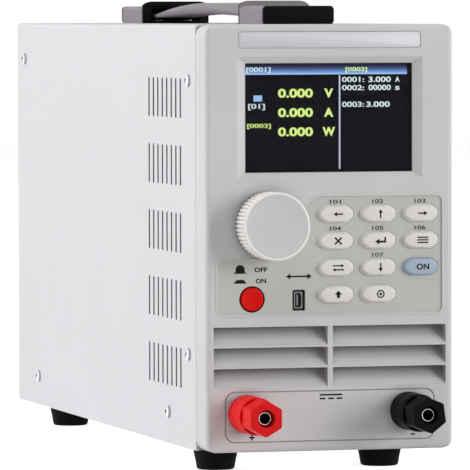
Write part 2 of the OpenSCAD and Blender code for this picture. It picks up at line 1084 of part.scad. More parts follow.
module chassis_tray() {
  y1 = panel_y - 0.1;
  color("gainsboro")
    difference() {
      union() {
        box(-inner_w, inner_w, cover_y0 + 0.3, y1, 0, sheet_t);
        for (s = [-1, 1])
          box(s > 0 ? inner_w - sheet_t : -inner_w, s > 0 ? inner_w : -inner_w + sheet_t,
            ear_y + ear_end + wall_past_ear, y1, 0, tray_screw_z + tray_wall_up);
        box(-inner_w, inner_w, y1 - sheet_t, y1, 0, fan_under - rear_flange_gap);
      }
      side_drills(-half_w, half_w);
      for (s = [-1, 1])
        translate([s * rear_screw_x, 0, rear_screw_z])
          rod_y(screw_r + screw_gap, y1 - 5, y1 + 1);
      for (p = foot_at)
        translate([p[0], p[1], -1])
          cylinder(r = foot_screw_r + screw_gap, h = 5);
    }
}

module rear_panel() {
  color("gainsboro")
    difference() {
      union() {
        box(-inner_w, inner_w, panel_y, back, 0, case_h - cover_t - sheet_gap);
        for (s = [-1, 1])
          box(s > 0 ? inner_w - sheet_t : -inner_w, s > 0 ? inner_w : -inner_w + sheet_t,
            rear_tab_y - tab_half, panel_y + eps, rear_tab_z - tab_half, rear_tab_z + tab_half);
      }
      side_drills(-half_w, half_w);
      for (s = [-1, 1])
        translate([s * rear_screw_x, 0, rear_screw_z])
          rod_y(screw_r + screw_gap, panel_y - 1, back + 1);
      translate([0, 0, fan_z]) {
        for (r = [stator_r + 2:slot_pitch:fan_bore - 4])
          difference() {
            rod_y(r + slot_w, panel_y - 1, back + 1);
            rod_y(r, panel_y - 2, back + 2);
            for (a = [45, 135])
              rotate([0, a, 0])
                box(-fan_w, fan_w, panel_y - 2, back + 2, -spoke_w / 2, spoke_w / 2);
          }
        for (x = [-1, 1])
          for (z = [-1, 1])
            translate([x * fan_hole, 0, z * fan_hole])
              rod_y(fan_screw_r + screw_gap, panel_y - 1, back + 1);
      }
      box(inlet_x - cut_w / 2 - 0.1, inlet_x + cut_w / 2 + 0.1, panel_y - 1, back + 1,
        inlet_z - cut_h / 2 - 0.1, inlet_z + cut_h / 2 + 0.1);
    }
}

// Screw with a low domed head, pointing along Z downwards from zero
module pan_screw(r, hr, hh, len) {
  translate([0, 0, -len])
    cylinder(r = r, h = len + eps);
  difference() {
    intersection() {
      cylinder(r = hr, h = hh);
      translate([0, 0, hh - 2.2 * hr])
        sphere(r = 2.2 * hr);
    }
    for (a = [0, 90])
      rotate([0, 0, a])
        translate([-0.6 * hr, -0.13 * hr, 0.45 * hh])
          cube([1.2 * hr, 0.26 * hr, hh]);
  }
}

module case_screws() {
  color("silver") {
    for (p = side_screws)
      for (s = [-1, 1])
        translate([s * half_w, p[0], p[1]])
          rotate([0, s * 90, 0])
            rotate([0, 0, 20])
              pan_screw(screw_r, head_r, head_h, screw_len);
    for (s = [-1, 1])
      translate([s * rear_screw_x, back, rear_screw_z])
        rotate([-90, 0, 0])
          pan_screw(screw_r, head_r, head_h, screw_len);
  }
}

// Feet
module foot_at_place(i) {
  color("black")
    translate([foot_at[i][0], foot_at[i][1], -foot_h])
      rotate_extrude()
        polygon([[foot_well_r, 0], [foot_tip_r - 1, 0], [foot_tip_r - 0.2, 0.5], [foot_tip_r, 1.4],
          [foot_r, foot_h], [foot_screw_r + 0.2, foot_h], [foot_screw_r + 0.2, foot_well],
          [foot_well_r, foot_well]]);
}

module foot_front_left() {
  foot_at_place(0);
}

module foot_front_right() {
  foot_at_place(1);
}

module foot_rear_left() {
  foot_at_place(2);
}

module foot_rear_right() {
  foot_at_place(3);
}

module foot_screws() {
  color("silver")
    for (p = foot_at)
      translate([p[0], p[1], -foot_h + foot_well])
        rotate([180, 0, 0])
          pan_screw(foot_screw_r, foot_head_r, foot_head_h, foot_h - foot_well + sheet_t + foot_head_h);
}

// Handle: drawn with the closed end on Y = 0 and the mouth at the mount's length
module at_mounts(which) {
  if (which == 0)
    translate([0, handle_y, case_h])
      children();
  if (which == 1)
    translate([0, handle_y + handle_len, case_h])
      rotate([0, 0, 180])
        children();
}

module at_handle_screws() {
  for (m = [0, 1])
    at_mounts(m)
      for (x = [-handle_screw_x, handle_screw_x])
        translate([x, mount_len - handle_screw_in, 0])
          children();
}

module handle_base(which) {
  color("black")
    at_mounts(which)
      difference() {
        union() {
          box(-mount_w / 2 + hood_t + hood_gap, mount_w / 2 - hood_t - hood_gap, end_t - eps,
            mount_len - frame_t + eps, 0, floor_t);
          along_y(0, end_t)
            arch_rect(mount_w, mount_low, end_r);
          along_y(mount_len - frame_t, mount_len)
            difference() {
              arch_rect(mount_w, mount_h, frame_r);
              translate([-mouth_w / 2, floor_t])
                square([mouth_w, mouth_top - floor_t]);
            }
        }
        for (x = [-handle_screw_x, handle_screw_x])
          translate([x, mount_len - handle_screw_in, 0])
            cylinder(r = handle_screw_r + screw_gap, h = handle_drill, center = true);
      }
}

// Arch between the closed end and the mouth frame, drawn in and past its ends for the hollow
module hood_prism(inset, past) {
  along_y(end_t + hood_gap - past, mount_len - frame_t - hood_gap + past)
    translate([0, -past])
      arch_rect(mount_w - 2 * inset, mount_low - inset + past, hood_r - inset);
}

module handle_hood(which) {
  color("gray")
    at_mounts(which)
      difference() {
        hood_prism(0, 0);
        hood_prism(hood_t, 1);
      }
}

module handle_base_front() {
  handle_base(0);
}

module handle_base_rear() {
  handle_base(1);
}

module handle_hood_front() {
  handle_hood(0);
}

module handle_hood_rear() {
  handle_hood(1);
}

// Height of the strap's top and underside over its length
function arc_z(y, top, r) = top - r + sqrt(r * r - y * y);

module handle_strap() {
  half = strap_span / 2;
  steps = 36;
  over = [for (i = [0:steps]) let (y = half - i * 2 * half / steps) [y, arc_z(y, strap_top, top_arc)]];
  under = [for (i = [0:steps]) let (y = -half + i * 2 * half / steps) [y, arc_z(y, strap_low, low_arc)]];
  color("gray")
    translate([0, strap_mid, case_h]) {
      along_x(-strap_w / 2, strap_w / 2)
        polygon(concat(over, under));
      for (s = [0, 180])
        rotate([0, 0, s])
          box(-strap_w / 2, strap_w / 2, half - 0.5, half + tongue_in, tongue_z0, tongue_z0 + tongue_t);
    }
}

module handle_screws() {
  color("silver")
    at_handle_screws()
      translate([0, 0, floor_t])
        pan_screw(handle_screw_r, handle_head_r, handle_head_h, floor_t + cover_t + handle_screw_end);
}

// Power stage
module heatsink() {
  pitch = (sink_w - fin_t) / (fins - 1);
  color("lightsteelblue") {
    box(-sink_w / 2, sink_w / 2, sink_y0, sink_y1, sink_z1 - sink_base, sink_z1);
    for (i = [0:fins - 1])
      translate([-sink_w / 2 + i * pitch, 0, 0])
        box(0, fin_t, sink_y0, sink_y1, i == 0 || i == fins - 1 ? sheet_t : fin_foot,
          sink_z1 - sink_base + eps);
  }
}

module power_transistors() {
  color("black")
    for (x = [-transistor_x, transistor_x])
      for (y = [sink_y0 + 0.3 * sink_len, sink_y0 + 0.7 * sink_len])
        translate([x, y, sink_z1])
          box(-transistor_w / 2, transistor_w / 2, -transistor_len / 2, transistor_len / 2, 0, transistor_t);
}

module power_board() {
  color("darkgreen")
    box(-power_w / 2, power_w / 2, sink_y0, sink_y1, power_z0, power_z0 + board_t);
}

module board_posts() {
  color("goldenrod")
    for (x = [-sink_w / 2 + post_in, sink_w / 2 - post_in])
      for (y = [sink_y0 + post_front, sink_y1 - post_rear])
        translate([x, y, sink_z1])
          cylinder(r = board_post_r, h = post_h);
}

module bulk_capacitors() {
  color("steelblue")
    for (i = [0:3])
      translate([0, sink_y0 + sink_len * (0.2 + 0.2 * i), power_z0 + board_t])
        cylinder(r = cap_r, h = cap_h);
}

module mains_transformer() {
  color("darkgoldenrod")
    translate([0, trafo_y, sheet_t]) {
      box(-trafo_w / 2, trafo_w / 2, 0, trafo_d, 0, trafo_flange);
      box(-trafo_w / 2, trafo_w / 2, core_in, trafo_d - core_in, 0, trafo_h);
      box(-trafo_w / 2 + coil_in, trafo_w / 2 - coil_in, coil_end, trafo_d - coil_end, trafo_flange,
        trafo_h - coil_down);
    }
}

// Fan
module fan_frame() {
  half = fan_w / 2;
  color("black")
    translate([0, 0, fan_z]) {
      difference() {
        along_y(fan_y0, fan_y1)
          round_rect(-half, -half, half, half, fan_corner);
        rod_y(fan_bore, fan_y0 - 1, fan_y1 + 1);
        for (x = [-fan_hole, fan_hole])
          for (z = [-fan_hole, fan_hole])
            translate([x, 0, z])
              rod_y(fan_screw_r + screw_gap, fan_y0 - 1, fan_y1 + 1);
      }
      difference() {
        union() {
          rod_y(stator_r, fan_y1 - stator_t, fan_y1);
          for (a = [0, 90])
            rotate([0, a, 0])
              box(-fan_bore - 1, fan_bore + 1, fan_y1 - strut_t, fan_y1, -strut_w / 2, strut_w / 2);
        }
        rod_y(axle_r + run_gap, fan_y1 - stator_t - 1, fan_y1 - 1);
      }
    }
}

module fan_rotor() {
  mid = (rotor_y0 + rotor_y1) / 2;
  len = rotor_y1 - rotor_y0;
  color("dimgray")
    translate([0, 0, fan_z]) {
      rod_y(stator_r, rotor_y0, rotor_y1);
      rod_y(axle_r, rotor_y1 - eps, fan_y1 - 1.4);
      intersection() {
        rod_y(fan_bore - 1, rotor_y0, rotor_y1);
        for (i = [0:fan_blades - 1])
          rotate([0, i * 360 / fan_blades, 0])
            translate([0, mid, 0])
              rotate([0, 0, blade_turn])
                box(-len, len, -blade_t / 2, blade_t / 2, stator_r - 2, fan_bore + 5);
      }
    }
}

module fan_screws() {
  color("silver")
    for (x = [-fan_hole, fan_hole])
      for (z = [-fan_hole, fan_hole])
        translate([x, back, fan_z + z])
          rotate([-90, 0, 0])
            pan_screw(fan_screw_r, fan_head_r, fan_head_h, fan_screw_len);
}

// Mains inlet with its fuse drawer
module mains_inlet() {
  face = back + inlet_flange;
  w = socket_w / 2;
  h = socket_h / 2;
  color("black")
    translate([inlet_x, 0, 0]) {
      difference() {
        union() {
          along_y(back, face)
            round_rect(-inlet_w / 2, inlet_z - inlet_h / 2, inlet_w / 2, inlet_z + inlet_h / 2, 2);
          box(-cut_w / 2, cut_w / 2, back - inlet_depth, back + eps, inlet_z - cut_h / 2,
            inlet_z + cut_h / 2);
        }
        translate([0, 0, socket_z])
          along_y(face - socket_depth, face + 1)
            polygon([[-w, -h], [w, -h], [w, h - socket_cut], [w - socket_cut, h],
              [-w + socket_cut, h], [-w, h - socket_cut]]);
        box(-drawer_w / 2 - drawer_gap, drawer_w / 2 + drawer_gap, face - drawer_len - 0.5, face + 1,
          drawer_z - drawer_h / 2 - drawer_gap, drawer_z + drawer_h / 2 + drawer_gap);
      }
      for (p = [[-blade_x, -blade_z], [blade_x, -blade_z], [0, blade_z]])
        translate([p[0], 0, socket_z + p[1]])
          box(-blade_w / 2, blade_w / 2, face - socket_depth - 1, face - socket_depth + blade_len,
            -blade_h / 2, blade_h / 2);
    }
}

module fuse_drawer() {
  face = back + inlet_flange;
  color("dimgray")
    translate([inlet_x, 0, drawer_z]) {
      difference() {
        box(-drawer_w / 2, drawer_w / 2, face - drawer_len, face, -drawer_h / 2, drawer_h / 2);
        box(-drawer_w / 2 + drawer_wall, drawer_w / 2 - drawer_wall, face - drawer_len + drawer_wall,
          face - drawer_wall, -drawer_h / 2 + drawer_floor, drawer_h / 2 + 1);
      }
      box(-drawer_w / 2 - drawer_grip_x, drawer_w / 2 + drawer_grip_x, face + 0.05, face + drawer_lip,
        -drawer_h / 2 - drawer_grip_z, drawer_h / 2 + drawer_grip_z);
      box(-drawer_w / 2 + 1, drawer_w / 2 - 1, face - 1, face + 0.1, -drawer_h / 2 + 1, drawer_h / 2 - 1);
    }
}

translate([0, front_y, foot_h]) {
  front_bezel();
  screen_window();
  display_module();
  control_overlay();
  key_board();
  tact_switches();
  rotary_encoder();
  encoder_shaft();
  knob();
  power_switch();
  power_button();
  usb_socket();
  key_left();
  key_up();
  key_right();
  key_back();
  key_enter();
  key_mode();
  key_channel();
  key_down();
  key_on();
  key_shift();
  key_local();
  red_post_base();
  red_post_stud();
  red_post_washer();
  red_post_nut();
  black_post_base();
  black_post_stud();
  black_post_washer();
  black_post_nut();
  post_locknuts();
  input_bars();
  case_cover();
  chassis_tray();
  rear_panel();
  case_screws();
  foot_front_left();
  foot_front_right();
  foot_rear_left();
  foot_rear_right();
  foot_screws();
  handle_base_front();
  handle_base_rear();
  handle_hood_front();
  handle_hood_rear();
  handle_strap();
  handle_screws();
  heatsink();
  power_transistors();
  power_board();
  board_posts();
  bulk_capacitors();
  mains_transformer();
  fan_frame();
  fan_rotor();
  fan_screws();
  mains_inlet();
  fuse_drawer();
}
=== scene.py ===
# %% [markdown]
# # Dressing a bench load for direct current
# The solids of this bench instrument come from a CAD model that is already packed, in metres and in
# one fixed frame. This lesson gives them their looks: painted sheet, moulded plastic, printed film,
# a lit screen, rubber and plated metal. Pieces whose soft edges matter are modelled again here, each
# in the place of the solid that it stands for, and each riding on the same moving body.

# %% Load the frame
import math

import bmesh
import bpy
from mathutils import Matrix, Vector


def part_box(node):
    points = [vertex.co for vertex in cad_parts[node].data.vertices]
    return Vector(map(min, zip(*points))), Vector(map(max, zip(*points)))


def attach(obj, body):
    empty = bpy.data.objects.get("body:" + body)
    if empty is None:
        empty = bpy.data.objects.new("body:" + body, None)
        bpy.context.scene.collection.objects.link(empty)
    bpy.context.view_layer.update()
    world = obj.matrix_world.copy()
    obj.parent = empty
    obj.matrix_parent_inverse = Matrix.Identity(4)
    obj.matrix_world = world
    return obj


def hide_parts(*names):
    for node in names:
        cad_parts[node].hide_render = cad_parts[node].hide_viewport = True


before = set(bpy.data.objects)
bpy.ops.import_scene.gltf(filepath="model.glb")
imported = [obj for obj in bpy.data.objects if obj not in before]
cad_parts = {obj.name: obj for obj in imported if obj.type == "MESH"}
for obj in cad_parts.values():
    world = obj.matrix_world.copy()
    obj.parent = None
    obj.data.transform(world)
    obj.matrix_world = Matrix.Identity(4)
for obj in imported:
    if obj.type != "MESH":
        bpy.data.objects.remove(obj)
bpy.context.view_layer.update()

# %% [markdown]
# ## Measuring from the front
# A maker measures this instrument from its moulded front: sideways from the middle, upwards from the
# bottom edge and inwards from the front face. Sizes written that way, in millimetres, stay readable,
# and one small function turns a place into the frame's metres. The front's own solid tells where its
# face and bottom edge are, so nothing is typed twice.

# %% Places in millimetres
MM = 0.001
bezel_low, bezel_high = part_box("front_bezel")
FRONT = bezel_low.y / MM
BOTTOM = bezel_low.z / MM
CASE_HEIGHT = bezel_high.z / MM - BOTTOM


def spot(x, depth, height):
    """Sideways, behind the front face and above the case bottom, as a point in metres."""
    return Vector((x * MM, (FRONT + depth) * MM, (BOTTOM + height) * MM))


def reach(node):
    """The box of a solid in the same millimetres: two corners as (x, depth, height)."""
    low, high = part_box(node)
    shift = Vector((0, FRONT, BOTTOM))
    return low / MM - shift, high / MM - shift


def middle(node):
    """The x and the height of a solid's middle."""
    low, high = reach(node)
    return (low.x + high.x) / 2, (low.z + high.z) / 2


def round_form(node):
    """Middle (x and height), radius, front depth and back depth of a round solid."""
    low, high = reach(node)
    return *middle(node), (high.x - low.x) / 2, low.y, high.y


print("front face at", round(FRONT, 2), "mm, case", round(CASE_HEIGHT, 1), "mm tall")

# %% [markdown]
# ## The camera
# The picture is taken from far away with a long lens, a little to the left and a little above the
# middle, so that the upright edges stay nearly parallel. The camera could be aimed with a
# constraint, but three turns in a row keep the tiny roll that the picture has.

# %% Camera
CAMERA_SPOT = (-722.5, -2638.85, 214.5)
CAMERA_YAW = 15.359
CAMERA_PITCH = 2.335
CAMERA_ROLL = -0.119
CAMERA_LENS = 422.47
CAMERA_FAR = 50
SENSOR = 36.0


def add_object(name, data):
    """A new object in the scene that shows this data."""
    thing = bpy.data.objects.new(name, data)
    bpy.context.scene.collection.objects.link(thing)
    return thing


lens = bpy.data.cameras.new("camera")
lens.lens = CAMERA_LENS
lens.sensor_width = SENSOR
lens.clip_end = CAMERA_FAR
camera = add_object("camera", lens)
stand = Matrix.Translation(Vector(CAMERA_SPOT) * MM)
for degrees, axis in ((-CAMERA_YAW, "Z"), (90 - CAMERA_PITCH, "X"), (CAMERA_ROLL, "Z")):
    stand = stand @ Matrix.Rotation(math.radians(degrees), 4, axis)
camera.matrix_world = stand
bpy.context.scene.camera = camera

# %% [markdown]
# ## Light, floor and background
# A product picture on white has soft light from all round and three large lamps: one at the left and
# slightly behind for the bright painted side, one at the right and in front for the soft shadow
# beside the knob, and one above for bright upper edges. More light on the floor would burn out the
# pale case. So floor and world turn white only for rays that look at them, straight or through gloss
# and glass. Shaders are built from nodes, so two small functions add a node and fill its sockets.

# %% World and floor
bpy.context.scene.view_settings.view_transform = "Standard"
AMBIENT = 0.22
FLOOR_GREY = 0.78
FLOOR_GLOW = 0.8
FLOOR_SIZE = 12.0


def fill(tree, node, sockets):
    """Give each named socket a plain value, or a link from another node's output."""
    for socket, value in sockets.items():
        if isinstance(value, bpy.types.NodeSocket):
            tree.links.new(value, node.inputs[socket])
        else:
            node.inputs[socket].default_value = value


def add_node(tree, kind, sockets=None, **settings):
    node = tree.nodes.new("ShaderNode" + kind)
    for name, value in settings.items():
        setattr(node, name, value)
    fill(tree, node, sockets or {})
    return node


def new_material(name):
    material = bpy.data.materials.new(name)
    material.use_nodes = True
    return material, material.node_tree


def looking_rays(tree):
    """One socket that is 1 for camera, glossy and transmitted rays, and 0 for light that bounces."""
    path = add_node(tree, "LightPath").outputs
    first = add_node(tree, "Math", {0: path["Is Camera Ray"], 1: path["Is Glossy Ray"]}, operation="MAXIMUM")
    rays = {0: first.outputs[0], 1: path["Is Transmission Ray"]}
    return add_node(tree, "Math", rays, operation="MAXIMUM").outputs[0]


def white_world():
    world = bpy.data.worlds.new("studio")
    bpy.context.scene.world = world
    world.use_nodes = True
    tree = world.node_tree
    strength = add_node(tree, "MapRange", {"Value": looking_rays(tree), "To Min": AMBIENT, "To Max": 1.0})
    fill(tree, tree.nodes["Background"], {"Color": (1, 1, 1, 1), "Strength": strength.outputs["Result"]})


def studio_floor():
    material, tree = new_material("studio_floor")
    tree.nodes.remove(tree.nodes["Principled BSDF"])
    paper = add_node(tree, "BsdfDiffuse", {"Color": (FLOOR_GREY, FLOOR_GREY, FLOOR_GREY, 1)})
    lift = add_node(tree, "Math", {0: looking_rays(tree), 1: FLOOR_GLOW}, operation="MULTIPLY")
    shine = add_node(tree, "Emission", {"Strength": lift.outputs[0]})
    both = add_node(tree, "AddShader", {0: paper.outputs[0], 1: shine.outputs[0]})
    fill(tree, tree.nodes["Material Output"], {"Surface": both.outputs[0]})
    mesh = bpy.data.meshes.new("floor")
    half = FLOOR_SIZE / 2
    corners = [(-half, -half, 0), (half, -half, 0), (half, half, 0), (-half, half, 0)]
    mesh.from_pydata(corners, [], [(0, 1, 2, 3)])
    mesh.materials.append(material)
    add_object("floor", mesh)


white_world()
studio_floor()
print("world", AMBIENT, "and floor glow", FLOOR_GLOW)

# %% Soft lamps, square and turned to the middle of the object
LAMP_TARGET = Vector((0, 0, 0.1))
LAMPS = {
    "left_lamp": ((-2.45, 0.4, 1.0), 1.5, 47),
    "front_lamp": ((2.2, -1.95, 0.7), 1.6, 51),
    "top_lamp": ((-0.5, -0.6, 2.2), 1.5, 14),
}
for name, (place, size, watts) in LAMPS.items():
    light = bpy.data.lights.new(name, "AREA")
    light.size = size
    light.energy = watts
    lamp = add_object(name, light)
    lamp.location = place
    lamp.rotation_euler = (LAMP_TARGET - Vector(place)).to_track_quat("-Z", "Y").to_euler()
print("lamps:", list(LAMPS))

# %% [markdown]
# ## Finishes
# Colours are read off a screen from 0 to 255, but shaders count light in straight steps, so a small
# function converts them. No real surface has one flat colour: mouldings have a fine grain, powder
# paint a soft orange peel, and film and metal faint streaks. One recipe makes all of them from two
# noise textures: the wide one shifts the colour a little, and the fine one drives the roughness and
# the bump. A bevel node rounds the sharp edges of the CAD solids in the shading. An occlusion node
# paints shade into the colour of deep corners and round the foot of raised parts. For the sheet
# cover that node looks further and only at the cover itself: the cut edges of the air slots get dark
# painted shade, and the outside keeps its colour.

# %% The common recipe
NOISE_LOW = 0.3
NOISE_HIGH = 0.7
RELIEF = 0.25
PAINTED_SHADE_REACH = 6.0
COVER_REACH = 150.0
HALF_HIDDEN = 0.5


def tone(red, green, blue):
    """A screen colour from 0 to 255 in the straight light values of a shader."""
    def straight(v):
        v = v / 255
        return v / 12.92 if v <= 0.04045 else ((v + 0.055) / 1.055) ** 2.4
    return straight(red), straight(green), straight(blue)


def surface(name, colour, roughness, spread=0.05, shift=0.03, patch=22.0, grain=0.5, bump=0.12,
            metal=0.0, gloss=0.5, edge=0.0, stretch=(1, 1, 1), painted_shade=0.0, inside=False):
    """A principled surface: colour patches, grain of a size in mm, roughness and bump from the grain."""
    material, tree = new_material(name)
    place = add_node(tree, "TexCoord").outputs["Object"]
    place = add_node(tree, "Mapping", {"Vector": place, "Scale": stretch}).outputs["Vector"]
    wide = add_node(tree, "TexNoise", {"Vector": place, "Scale": patch, "Detail": 4})
    shades = add_node(tree, "ValToRGB", {"Fac": wide.outputs["Fac"]})
    steps = ((NOISE_LOW, 1 - shift), (NOISE_HIGH, 1 + shift))
    for stop, (position, light) in zip(shades.color_ramp.elements, steps):
        stop.position = position
        stop.color = (*[min(1.0, c * light) for c in tone(*colour)], 1)
    base = shades.outputs["Color"]
    fine = add_node(tree, "TexNoise", {"Vector": place, "Scale": 1 / (grain * MM), "Detail": 2})
    fine = fine.outputs["Fac"]
    dull = add_node(tree, "MapRange", {
        "Value": fine, "From Min": NOISE_LOW, "From Max": NOISE_HIGH,
        "To Min": max(0.02, roughness - spread), "To Max": min(1.0, roughness + spread)})
    relief = add_node(tree, "Bump", {"Height": fine, "Strength": bump, "Distance": grain * MM * RELIEF})
    if edge:
        soft = add_node(tree, "Bevel", {"Radius": edge * MM}, samples=4)
        fill(tree, relief, {"Normal": soft.outputs["Normal"]})
    # Painted shade: occlusion darkens the base colour in corners, recesses and round raised parts.
    if painted_shade:
        distance = (COVER_REACH if inside else PAINTED_SHADE_REACH) * MM
        hidden = add_node(tree, "AmbientOcclusion", {"Distance": distance}, samples=8, only_local=inside)
        fade = add_node(tree, "MapRange", {
            "Value": hidden.outputs["AO"], "From Min": HALF_HIDDEN if inside else 0.0, "To Min": 1 - painted_shade})
        shaded_base = {0: base, "Scale": fade.outputs["Result"]}
        base = add_node(tree, "VectorMath", shaded_base, operation="SCALE").outputs["Vector"]
    fill(tree, tree.nodes["Principled BSDF"], {
        "Base Color": base, "Metallic": metal, "Specular IOR Level": gloss,
        "Roughness": dull.outputs["Result"], "Normal": relief.outputs["Normal"]})
    return material


print("a colour of 128 is", round(tone(128, 128, 128)[0], 3), "in straight light")

# %% [markdown]
# ## Choosing the colours
# Under the plain studio light the front shows each colour slightly darker than it is written and the
# left side slightly lighter. The warm white of the moulding, the cooler white of the paint and the
# greenish grey of the printed film are close together, and the difference is what tells the pieces
# apart. Blacks get little gloss, because a white room shows in every shiny black.

# %% Finishes of the outside
# The occlusion setting on the front, the knob ribs and the cover paints shade into their corners, recesses
# and slots.
FRONT_PLASTIC = surface("front_plastic", (207, 207, 208), 0.65, grain=0.45, bump=0.16, edge=0.35, painted_shade=0.5)
KNOB_PLASTIC = surface("knob_plastic", (208, 208, 210), 0.4, bump=0.1)
# The lighter copy of the knob plastic is a painted highlight on ribs, groove and bead.
KNOB_LIT_COPY = surface("knob_grip_painted_light", (242, 238, 236), 0.42, shift=0.02, grain=0.4, bump=0.08, painted_shade=0.35)
KEY_RUBBER = surface("key_rubber", (231, 228, 224), 0.5, shift=0.015, grain=0.3, bump=0.08, gloss=0.3)
KEY_BLUE = surface("key_blue_rubber", (172, 187, 203), 0.5, shift=0.02, grain=0.3, bump=0.08, gloss=0.3)
CONTROL_FILM = surface("control_film", (194, 196, 189), 0.45, shift=0.012, grain=0.25, bump=0.06, gloss=0.35,
                       edge=0.2)
NAME_FILM = surface("name_film", (216, 216, 221), 0.45, shift=0.015, grain=0.3, bump=0.05, gloss=0.35)
CASE_PAINT = surface("case_paint", (218, 218, 221), 0.7, shift=0.012, patch=9, grain=1.1, bump=0.1,
                     gloss=0.06, edge=0.3, painted_shade=0.97, inside=True)
BUTTON_RED = surface("button_red", (224, 18, 8), 0.35, grain=0.6, bump=0.05, gloss=0.1)
POST_RED = surface("post_red", (224, 24, 28), 0.42, bump=0.1, gloss=0.1)
POST_BLACK = surface("post_black", (9, 9, 12), 0.4, shift=0.1, bump=0.1, gloss=0.05)
FOOT_RUBBER = surface("foot_rubber", (12, 12, 13), 0.7, shift=0.15, grain=0.6, bump=0.25, gloss=0.06)
HANDLE_BLACK = surface("handle_black", (10, 10, 13), 0.5, shift=0.12, grain=0.6, bump=0.2, gloss=0.06,
                       edge=0.4)
HANDLE_GREY = surface("handle_grey", (134, 129, 134), 0.55, shift=0.04, grain=0.6, bump=0.2, gloss=0.25)
INK = surface("printed_ink", (28, 28, 32), 0.6, shift=0.2, grain=0.2, bump=0.05, gloss=0.08)
print("finishes with the floor:", len(bpy.data.materials))

# %% Finishes of metal and of the inside
PLATED = surface("plated_metal", (214, 208, 198), 0.24, shift=0.06, grain=0.4, bump=0.05, metal=1.0)
# Its occlusion setting paints shade into the screw recesses.
SCREW_BRIGHT = surface("screw_bright", (226, 226, 230), 0.3, shift=0.05, grain=0.3, bump=0.06, metal=0.9,
                       painted_shade=0.9)
ZINC_SHEET = surface("zinc_sheet", (190, 192, 196), 0.45, shift=0.06, patch=70, grain=0.9, bump=0.08,
                     metal=0.55, edge=0.25)
STEEL = surface("steel_plate", (178, 178, 182), 0.35, shift=0.05, grain=0.4, bump=0.05, metal=0.9, edge=0.15)
COPPER = surface("copper_bar", (196, 120, 84), 0.35, shift=0.1, bump=0.08, metal=1.0, stretch=(1, 0.1, 1))
ALUMINIUM = surface("sink_aluminium", (172, 175, 180), 0.4, shift=0.05, grain=0.6, metal=0.9,
                    stretch=(1, 0.05, 1))
BRASS = surface("turned_brass", (206, 172, 96), 0.3, shift=0.06, grain=0.4, bump=0.06, metal=1.0)
BOARD_GREEN = surface("board_green", (24, 82, 46), 0.4, shift=0.12, patch=160, grain=0.4, bump=0.1)
CAN_SLEEVE = surface("can_shade_liner", (44, 66, 122), 0.35, shift=0.08, grain=0.4, bump=0.05)
CORE_IRON = surface("core_iron", (96, 88, 80), 0.55, shift=0.12, patch=60, grain=0.4, bump=0.3, metal=0.4,
                    stretch=(1, 8, 1))
DARK_PLASTIC = surface("dark_plastic", (22, 22, 24), 0.5, shift=0.12, bump=0.15, gloss=0.15, edge=0.3)
SCREEN_BLACK = surface("screen_black", (17, 16, 21), 0.4, shift=0.08, patch=60, grain=0.2, bump=0.03,
                       gloss=0.03)
SOCKET_SHELL = surface("socket_shell", (128, 128, 132), 0.35, shift=0.08, grain=0.3, bump=0.05, metal=0.9,
                       edge=0.1)
print("finishes so far:", len(bpy.data.materials))

# %% [markdown]
# ## Dressing the solids that stay
# Sheet metal, the moulded front and everything inside already have their true shape in CAD. They
# only need their finish, so the material slot of each solid is filled and its mesh stays untouched.

# %% Solids and their finishes
DRESSED = {
    FRONT_PLASTIC: ["front_bezel"],
    CONTROL_FILM: ["control_overlay"],
    CASE_PAINT: ["case_cover"],
    ZINC_SHEET: ["chassis_tray", "rear_panel"],
    SCREW_BRIGHT: ["case_screws", "foot_screws", "handle_screws", "fan_screws"],
    STEEL: ["rotary_encoder", "encoder_shaft"],
    SOCKET_SHELL: ["usb_socket"],
    PLATED: ["red_post_washer", "black_post_washer"],
    BRASS: ["post_locknuts", "board_posts"],
    COPPER: ["input_bars"],
    ALUMINIUM: ["heatsink"],
    BOARD_GREEN: ["key_board", "power_board"],
    CAN_SLEEVE: ["bulk_capacitors"],
    CORE_IRON: ["mains_transformer"],
    SCREEN_BLACK: ["display_module"],
    DARK_PLASTIC: ["tact_switches", "power_switch", "power_transistors", "fan_frame", "fan_rotor",
                   "mains_inlet", "fuse_drawer"],
}
for finish, names in DRESSED.items():
    for solid in names:
        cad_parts[solid].data.materials[0] = finish
print("dressed", sum(len(names) for names in DRESSED.values()), "solids")

# %% [markdown]
# ## Two ways to make a shape
# Most control pieces are either turned, like something from a lathe, or drawn through a row of
# outlines, like a key cap. Blender has a Screw modifier for the first and Bridge Edge Loops for the
# second. Writing the rings of points directly gives the same quads and leaves no modifier to apply. A
# shape is a pair of points, in millimetres, and faces.

# %% Making pieces
def make_piece(name, shape, finish, slot, stands_for=None, body="chassis", crease=35):
    """A closed mesh, smooth below the crease angle, that rides on a body and may stand for a solid."""
    points, faces = shape
    mesh = bpy.data.meshes.new(name)
    mesh.from_pydata([spot(*p) for p in points], [], faces)
    work = bmesh.new()
    work.from_mesh(mesh)
    bmesh.ops.remove_doubles(work, verts=work.verts, dist=1e-7)
    bmesh.ops.recalc_face_normals(work, faces=work.faces)
    work.to_mesh(mesh)
    work.free()
    mesh.shade_smooth()
    mesh.set_sharp_from_angle(angle=math.radians(crease))
    mesh.materials.append(finish)
    piece = add_object(name, mesh)
    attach(piece, body)
    if stands_for:
        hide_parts(stands_for)
    return piece


def through_rings(rings, loop=False):
    """A skin over rings of equally many points, with flat ends or closed to a loop."""
    count = len(rings[0])
    points = [p for ring in rings for p in ring]
    faces = []
    for r in range(len(rings) if loop else len(rings) - 1):
        here, there = r * count, (r + 1) % len(rings) * count
        for i in range(count):
            j = (i + 1) % count
            faces.append((here + i, here + j, there + j, there + i))
    if not loop:
        faces.append(tuple(reversed(range(count))))
        faces.append(tuple(range(len(points) - count, len(points))))
    return points, faces


def joined(shapes):
    """Several shapes as one."""
    points, faces = [], []
    for more, skin in shapes:
        faces += [tuple(i + len(points) for i in face) for face in skin]
        points += more
    return points, faces


print("helpers ready: make_piece, through_rings, joined")

# %% Outlines, as pairs of x and height
def ring_at(outline, depth, x=0.0, z=0.0):
    """An outline round a place on the front, set at a depth."""
    return [(x + a, depth, z + b) for a, b in outline]


